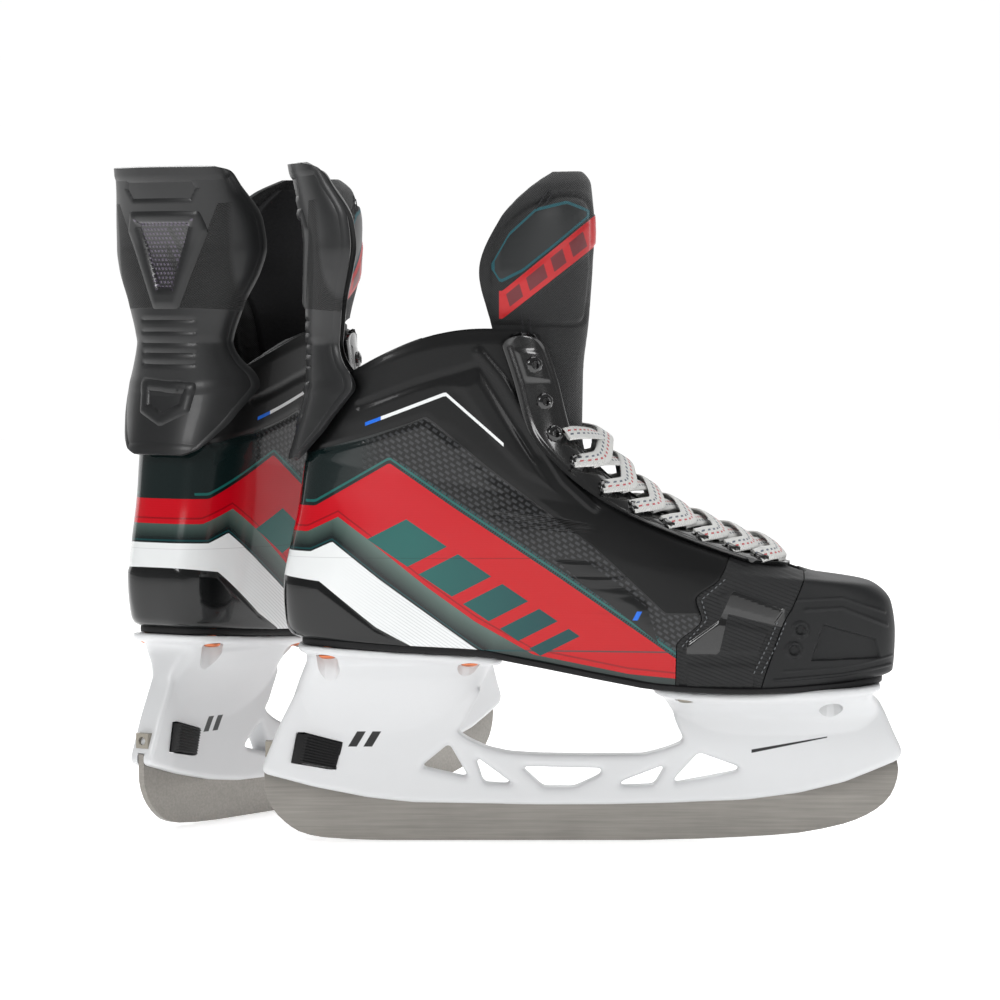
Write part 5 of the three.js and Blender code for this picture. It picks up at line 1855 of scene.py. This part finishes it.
# ---------------------------------------------------------------------------------------------------
# Holder and steel
# ---------------------------------------------------------------------------------------------------
@dataclass
class Undercarriage:
    """The holder with its posts, the steel, the release button and the fasteners."""

    shop: Workshop
    rail: float = 13.6
    steel: float = 3.2
    seat: float = 5.0
    gap: float = 0.4
    most_faces: int = 190000

    RAIL = ((0, 30.9), (23, 24.8), (47.4, 20), (67.8, 17.8), (126, 16.7), (155.6, 16.8), (180, 17.3),
            (220, 18.9), (244.5, 22.1), (264.9, 27), (277, 31.8), (289.6, 37.1))
    TOP = ((291.8, 41), (287.6, 49.8), (283.5, 59.4), (280, 66), (186, 63), (188, 54.4), (192.1, 45.9),
           (183.5, 42.4), (173.5, 39.8), (147.4, 39.6), (126, 39.9), (112.4, 40.7), (101.9, 43.1), (93.5, 47),
           (88, 50.8), (91, 53), (100, 70), (20, 78), (15, 68.7), (11, 60.7), (6.9, 52.5), (2.9, 42.7),
           (-0.8, 33.8))
    WINDOWS = (
        ((84.7, 44.8), (71.5, 33.9), (93.8, 28.9)),
        ((96.5, 39.0), (100.6, 26.6), (114.7, 25.7)),
        ((117.4, 34.3), (154.7, 33.4), (153.8, 30.2), (142, 24.8), (127.9, 24.8)),
        ((162.9, 27.2), (184, 35.3), (178.3, 25.7), (162.9, 25.2)),
        ((198.6, 40.6), (216.9, 34.1), (216.9, 32), (187.2, 26.4), (187.2, 28.4)),
    )
    EDGE = ((0.4, 23.2), (1.6, 19), (3.6, 15.1), (6.2, 11.6), (9.3, 8.6), (12.5, 6.1), (15.8, 4.1), (21, 2.4),
            (27.2, 1.3), (40, 0.4), (55.6, 0), (171.5, 0), (200, 0.7), (220, 1.6), (232, 2.3), (244.5, 3.4),
            (255, 5.2), (264.9, 7.5), (270.5, 9.4), (275.4, 11.6), (279.8, 14.2), (283.5, 17.2), (286.4, 20.7),
            (288.3, 24.5), (289.5, 28.5), (290, 32.6))
    BUTTON = ((18.7, 49.6), (36, 45.1), (32.9, 33.4), (16, 36.4))
    RIVETS = ((30, 18.5), (94, 18.5), (192, 27), (258, 21))

    def build(self) -> None:
        """Makes and delivers the undercarriage."""
        self._holder()
        self._runner()
        self._button()
        self._rivets()

    @staticmethod
    def _ring(back: float, front: float, half: float, height: Any, square: float,
              count: int = 96) -> np.ndarray:
        """A rounded ring in plan between two ends."""
        turn = np.linspace(0, 2 * np.pi, count, endpoint=False)
        c, s = np.cos(turn), np.sin(turn)
        x = (back + front) / 2 + (front - back) / 2 * np.sign(c) * np.abs(c) ** (2 / square)
        y = half * np.sign(s) * np.abs(s) ** (2 / square)
        z = height(x) if callable(height) else np.full(count, float(height))
        return np.stack([x, y, z], -1)

    def _post(self, name: str, rows: Sequence[Sequence[float]], flange: Sequence[float]) -> bpy.types.Object:
        """A flared post and its flange, as one closed body.

        Args:
            name: The piece's name.
            rows: Back, front, half-width and height of each ring, from the rail up.
            flange: Back, front and half-width of the flange.

        Returns:
            The body.
        """

        def under(lift: float) -> Callable:
            """The sole's underside, raised by lift."""
            return lambda x: BOOT.sole.one(x) - self.gap + lift

        track = Track([[i, *row] for i, row in enumerate(rows)])
        rings = [self._ring(*track(float(t)), 3.0) for t in np.linspace(0, len(rows) - 1, 18)]
        back, front, half = flange
        rings.append(self._ring(back + 4, front - 4, half - 3.6, under(-4.6), 3.4))
        for inset, lift in ((1.0, -3.3), (0.2, -2.7), (0.0, -2.0), (0.0, -0.6), (0.5, 0.0)):
            rings.append(self._ring(back + inset, front - inset, half - inset, under(lift), 4.0))
        return self.shop.loft(name, np.array(rings))

    def _holder(self) -> None:
        """The white holder, blended into one moulding."""
        outline = rounded([*self.RAIL, *self.TOP], 2.2, 3)
        windows = [rounded(window, 2.0, 6) for window in self.WINDOWS]
        truss = self.shop.slab("truss", outline, self.rail, 2.2, windows)
        heel = self._post(
            "heel_post", [(7, 85, 6.9, 50), (11.5, 93, 8.6, 60), (16, 100, 14, 73), (19.5, 104, 23, 82)],
            (16, 109, 27))
        toe = self._post(
            "toe_post", [(192, 285, 6.9, 49), (188, 282.5, 11, 57), (183, 280, 24, 65)], (177.5, 281, 37))
        body = self.shop.join("holder", [truss, heel, toe])
        size = 0.85
        self.shop.modify(body, "REMESH", mode="VOXEL", voxel_size=size, adaptivity=0.0)
        self.shop.modify(body, "SMOOTH", iterations=4, factor=0.5)
        play = 0.35
        seat = [(x, z + self.seat + self.gap) for x, z in self.RAIL]
        slot = self.shop.slab("slot", [(-9, -9), (300, -9), (300, seat[-1][1] - 3), *seat[:-1][::-1],
                                       (-9, seat[0][1])], self.steel + 2 * play)
        window = self.shop.slab("window", [(15.2, 50.1), (18.7, 50.1), (36.4, 45.5), (33.3, 33.0),
                                           (29.9, 33.0), (12.6, 36.0)], 60)
        cutters = [slot, window]
        for x, y in self.RIVETS:
            for side in (1, -1):
                bpy.ops.mesh.primitive_cylinder_add(vertices=40, radius=5.4, depth=40)
                well = bpy.context.object
                well.data.transform(Matrix.Translation((x, BOOT.lean(x) + side * y, BOOT.sole.one(x) - 23.4)))
                cutters.append(well)
        self.shop.cut(body, *cutters)
        if len(body.data.polygons) > self.most_faces:
            self.shop.modify(body, "DECIMATE", ratio=self.most_faces / (2 * len(body.data.polygons)))
        self.shop.chart(body)
        self.shop.deliver(body, "boot", "white_nylon", HolderFinish(), nodes=["holder"], smooth_angle=45)

    def _runner(self) -> None:
        """The steel, with its tab and hook."""
        top = [(x, z + self.seat) for x, z in self.RAIL[:-1]][::-1]
        outline = [*self.EDGE, (289.4, 36.6), *top]
        steel = self.shop.slab("runner", outline, self.steel, 0.18)
        tab = self.shop.slab("tab", [(41, 20), (53, 20), (53, 64), (41, 64)], self.steel - 0.1, 0.2)
        hook = self.shop.slab("hook", [(258, 24), (272, 26), (272, 54), (258, 54)], self.steel - 0.1, 0.2)
        made = self.shop.join("runner", [steel, tab, hook])
        self.shop.deliver(made, "steel", "runner_steel", SteelFinish(), nodes=["runner"], smooth_angle=25)

    def _button(self) -> None:
        """The ribbed release button, with the nose that holds the steel's tab."""
        wide = self.rail + 2.6
        (bx, bz), (fx, fz), (lx, lz), (rx, rz) = self.BUTTON
        back, front = [], []
        count = 9
        for i in range(count * 2 + 1):
            t = i / (count * 2)
            tooth = 0.0 if i % 2 == 0 else 0.7
            back.append((rx + (bx - rx) * t + tooth, rz + (bz - rz) * t))
            front.append((fx + (lx - fx) * t, fz + (lz - fz) * t))
        block = self.shop.slab("release_button", [*back, *front], wide - 1.6, 0.15)
        fins = [block]
        for i in range(10):
            t = (i + 0.5) / 10
            low = (rx + (bx - rx) * t + 0.5, rz + (bz - rz) * t)
            high = (lx + (fx - lx) * t - 0.5, lz + (fz - lz) * t)
            fins.append(self.shop.slab(
                "fin", [(low[0], low[1] - 0.32), (high[0], high[1] - 0.32),
                        (high[0], high[1] + 0.32), (low[0], low[1] + 0.32)], wide, 0.12))
        for side in (1, -1):
            cap = self.shop.slab(
                "cap", [(rx - 3.3, rz), (bx - 3.3, bz), (bx + 2, bz - 0.6), (rx + 2, rz - 0.4)], 0.9, 0.15)
            cap.data.transform(Matrix.Translation((0, side * 7.55, 0)))
            fins.append(cap)
        fins.append(self.shop.slab("nose", [(30, 39), (40.4, 39), (40.4, 43.5), (30, 43.5)], 5.2, 0.3))
        made = self.shop.join("release_button", fins)
        self.shop.deliver(made, "release", "button_plastic", BUTTON_BLACK, nodes=["release_button"],
                          smooth_angle=30)

    def _rivets(self) -> None:
        """Turned rivets: copper at the heel and plated at the toe."""
        number = 0
        for x, y in self.RIVETS:
            for side in (-1, 1):
                number += 1
                rings = []
                base = float(BOOT.sole.one(x)) - 3.8
                top = float(BOOT.sole.one(x)) + 7.2
                for radius, z in ((0.0, base - 1.9), (1.6, base - 1.95), (3.0, base - 1.7), (4.0, base - 1.0),
                                  (4.2, base - 0.4), (4.1, base), (2.2, base), (2.2, top - 1.4),
                                  (3.4, top - 1.3), (3.6, top - 0.9), (3.0, top), (0.0, top + 0.1)):
                    rings.append(self._ring(x - radius - 1e-3, x + radius + 1e-3, radius + 1e-3, z, 2.0, 32))
                pin = self.shop.loft(f"rivet_{number}", np.array(rings))
                pin.data.transform(Matrix.Translation((0, BOOT.lean(x) + side * y, 0)))
                metal, slot = (COPPER, "rivet_copper") if x < 150 else (PLATED, "rivet_steel")
                self.shop.deliver(pin, "boot", slot, metal, nodes=[f"rivet_{number}"], smooth_angle=35)


# ---------------------------------------------------------------------------------------------------
# The scene
# ---------------------------------------------------------------------------------------------------
@dataclass
class Studio:
    """The floor, the light and the camera."""

    distance: float = 2.05
    height: float = 0.253
    look_x: float = 0.1079
    look_z: float = 0.1557
    lens: float = 162.0

    def build(self, origin: Vector) -> None:
        """Sets up the studio.

        Args:
            origin: Where the right skate's drawing starts.
        """
        self._floor()
        self._lights()
        target = origin + Vector((self.look_x, 0, self.look_z))
        place = Vector((target.x, origin.y - self.distance, self.height))
        data = bpy.data.cameras.new("camera")
        data.lens, data.sensor_width = self.lens, 36.0
        data.clip_start, data.clip_end = 0.05, 60
        camera = bpy.data.objects.new("camera", data)
        bpy.context.collection.objects.link(camera)
        camera.location = place
        camera.rotation_euler = (target - place).to_track_quat("-Z", "Y").to_euler()
        bpy.context.scene.camera = camera

    @staticmethod
    def _floor() -> None:
        """A wide pale floor."""
        bpy.ops.mesh.primitive_plane_add(size=12, location=(0, 0, -0.0006))
        floor = bpy.context.object
        floor.name = "studio_floor"
        canvas = Canvas("studio_white")
        canvas.set(Base_Color=srgb(0.98, 0.98, 0.98), Roughness=0.8, Emission_Color=(1, 1, 1, 1),
                   Emission_Strength=0.55)
        floor.data.materials.append(canvas.material)
        bpy.ops.mesh.primitive_plane_add(size=14, location=(0, 5.2, 0), rotation=(math.pi / 2, 0, 0))
        wall = bpy.context.object
        wall.name = "studio_wall"
        glow = Canvas("studio_glow")
        glow.set(Base_Color=(0, 0, 0, 1), Roughness=1.0, Emission_Color=(1, 1, 1, 1), Emission_Strength=1.0)
        wall.data.materials.append(glow.material)

    @staticmethod
    def _lights() -> None:
        """Broad soft light from above and from both sides, over a white surround."""
        world = bpy.data.worlds.new("studio")
        world.use_nodes = True
        background = world.node_tree.nodes["Background"]
        background.inputs["Color"].default_value = (1, 1, 1, 1)
        background.inputs["Strength"].default_value = 0.24
        bpy.context.scene.world = world
        bpy.context.scene.view_settings.view_transform = "Standard"
        for name, place, size, power in (
            ("key", (-1.2, -1.7, 1.3), 0.7, 15.0), ("fill", (1.6, -1.4, 0.8), 0.6, 7.0),
            ("top", (0.1, 0.1, 1.9), 1.3, 15.0), ("rear", (-0.6, 1.6, 1.2), 1.0, 8.0),
        ):
            light = bpy.data.lights.new(name, "AREA")
            light.energy, light.size = power, size
            lamp = bpy.data.objects.new(name, light)
            bpy.context.collection.objects.link(lamp)
            lamp.location = place
            aim = Vector((0, 0, 0.15)) - Vector(place)
            lamp.rotation_euler = aim.to_track_quat("-Z", "Y").to_euler()


def finish_inner_parts(shop: Workshop) -> None:
    """Gives the pieces inside their finishes."""
    for side in Side:
        for node, material in (("insole", FELT), ("release_spring", PLATED), ("lock_nut", PLATED)):
            item = bpy.data.objects.get(f"{side.value}_{node}")
            if item:
                item.data.materials.clear()
                item.data.materials.append(shop.finish(material))


def main() -> None:
    """Builds the pair of skates and the studio."""
    logging.basicConfig(level=logging.INFO, format="%(message)s")
    bpy.ops.object.select_all(action="DESELECT")
    shop = Workshop()
    for part in (Upper(shop=shop), Lacing(shop), Guard(shop), Tongue(shop), Undercarriage(shop)):
        part.build()
        LOG.info("built %s", type(part).__name__)
    finish_inner_parts(shop)
    Studio().build(shop.places[Side.RIGHT].to_translation())


if __name__ == "__main__":
    main()
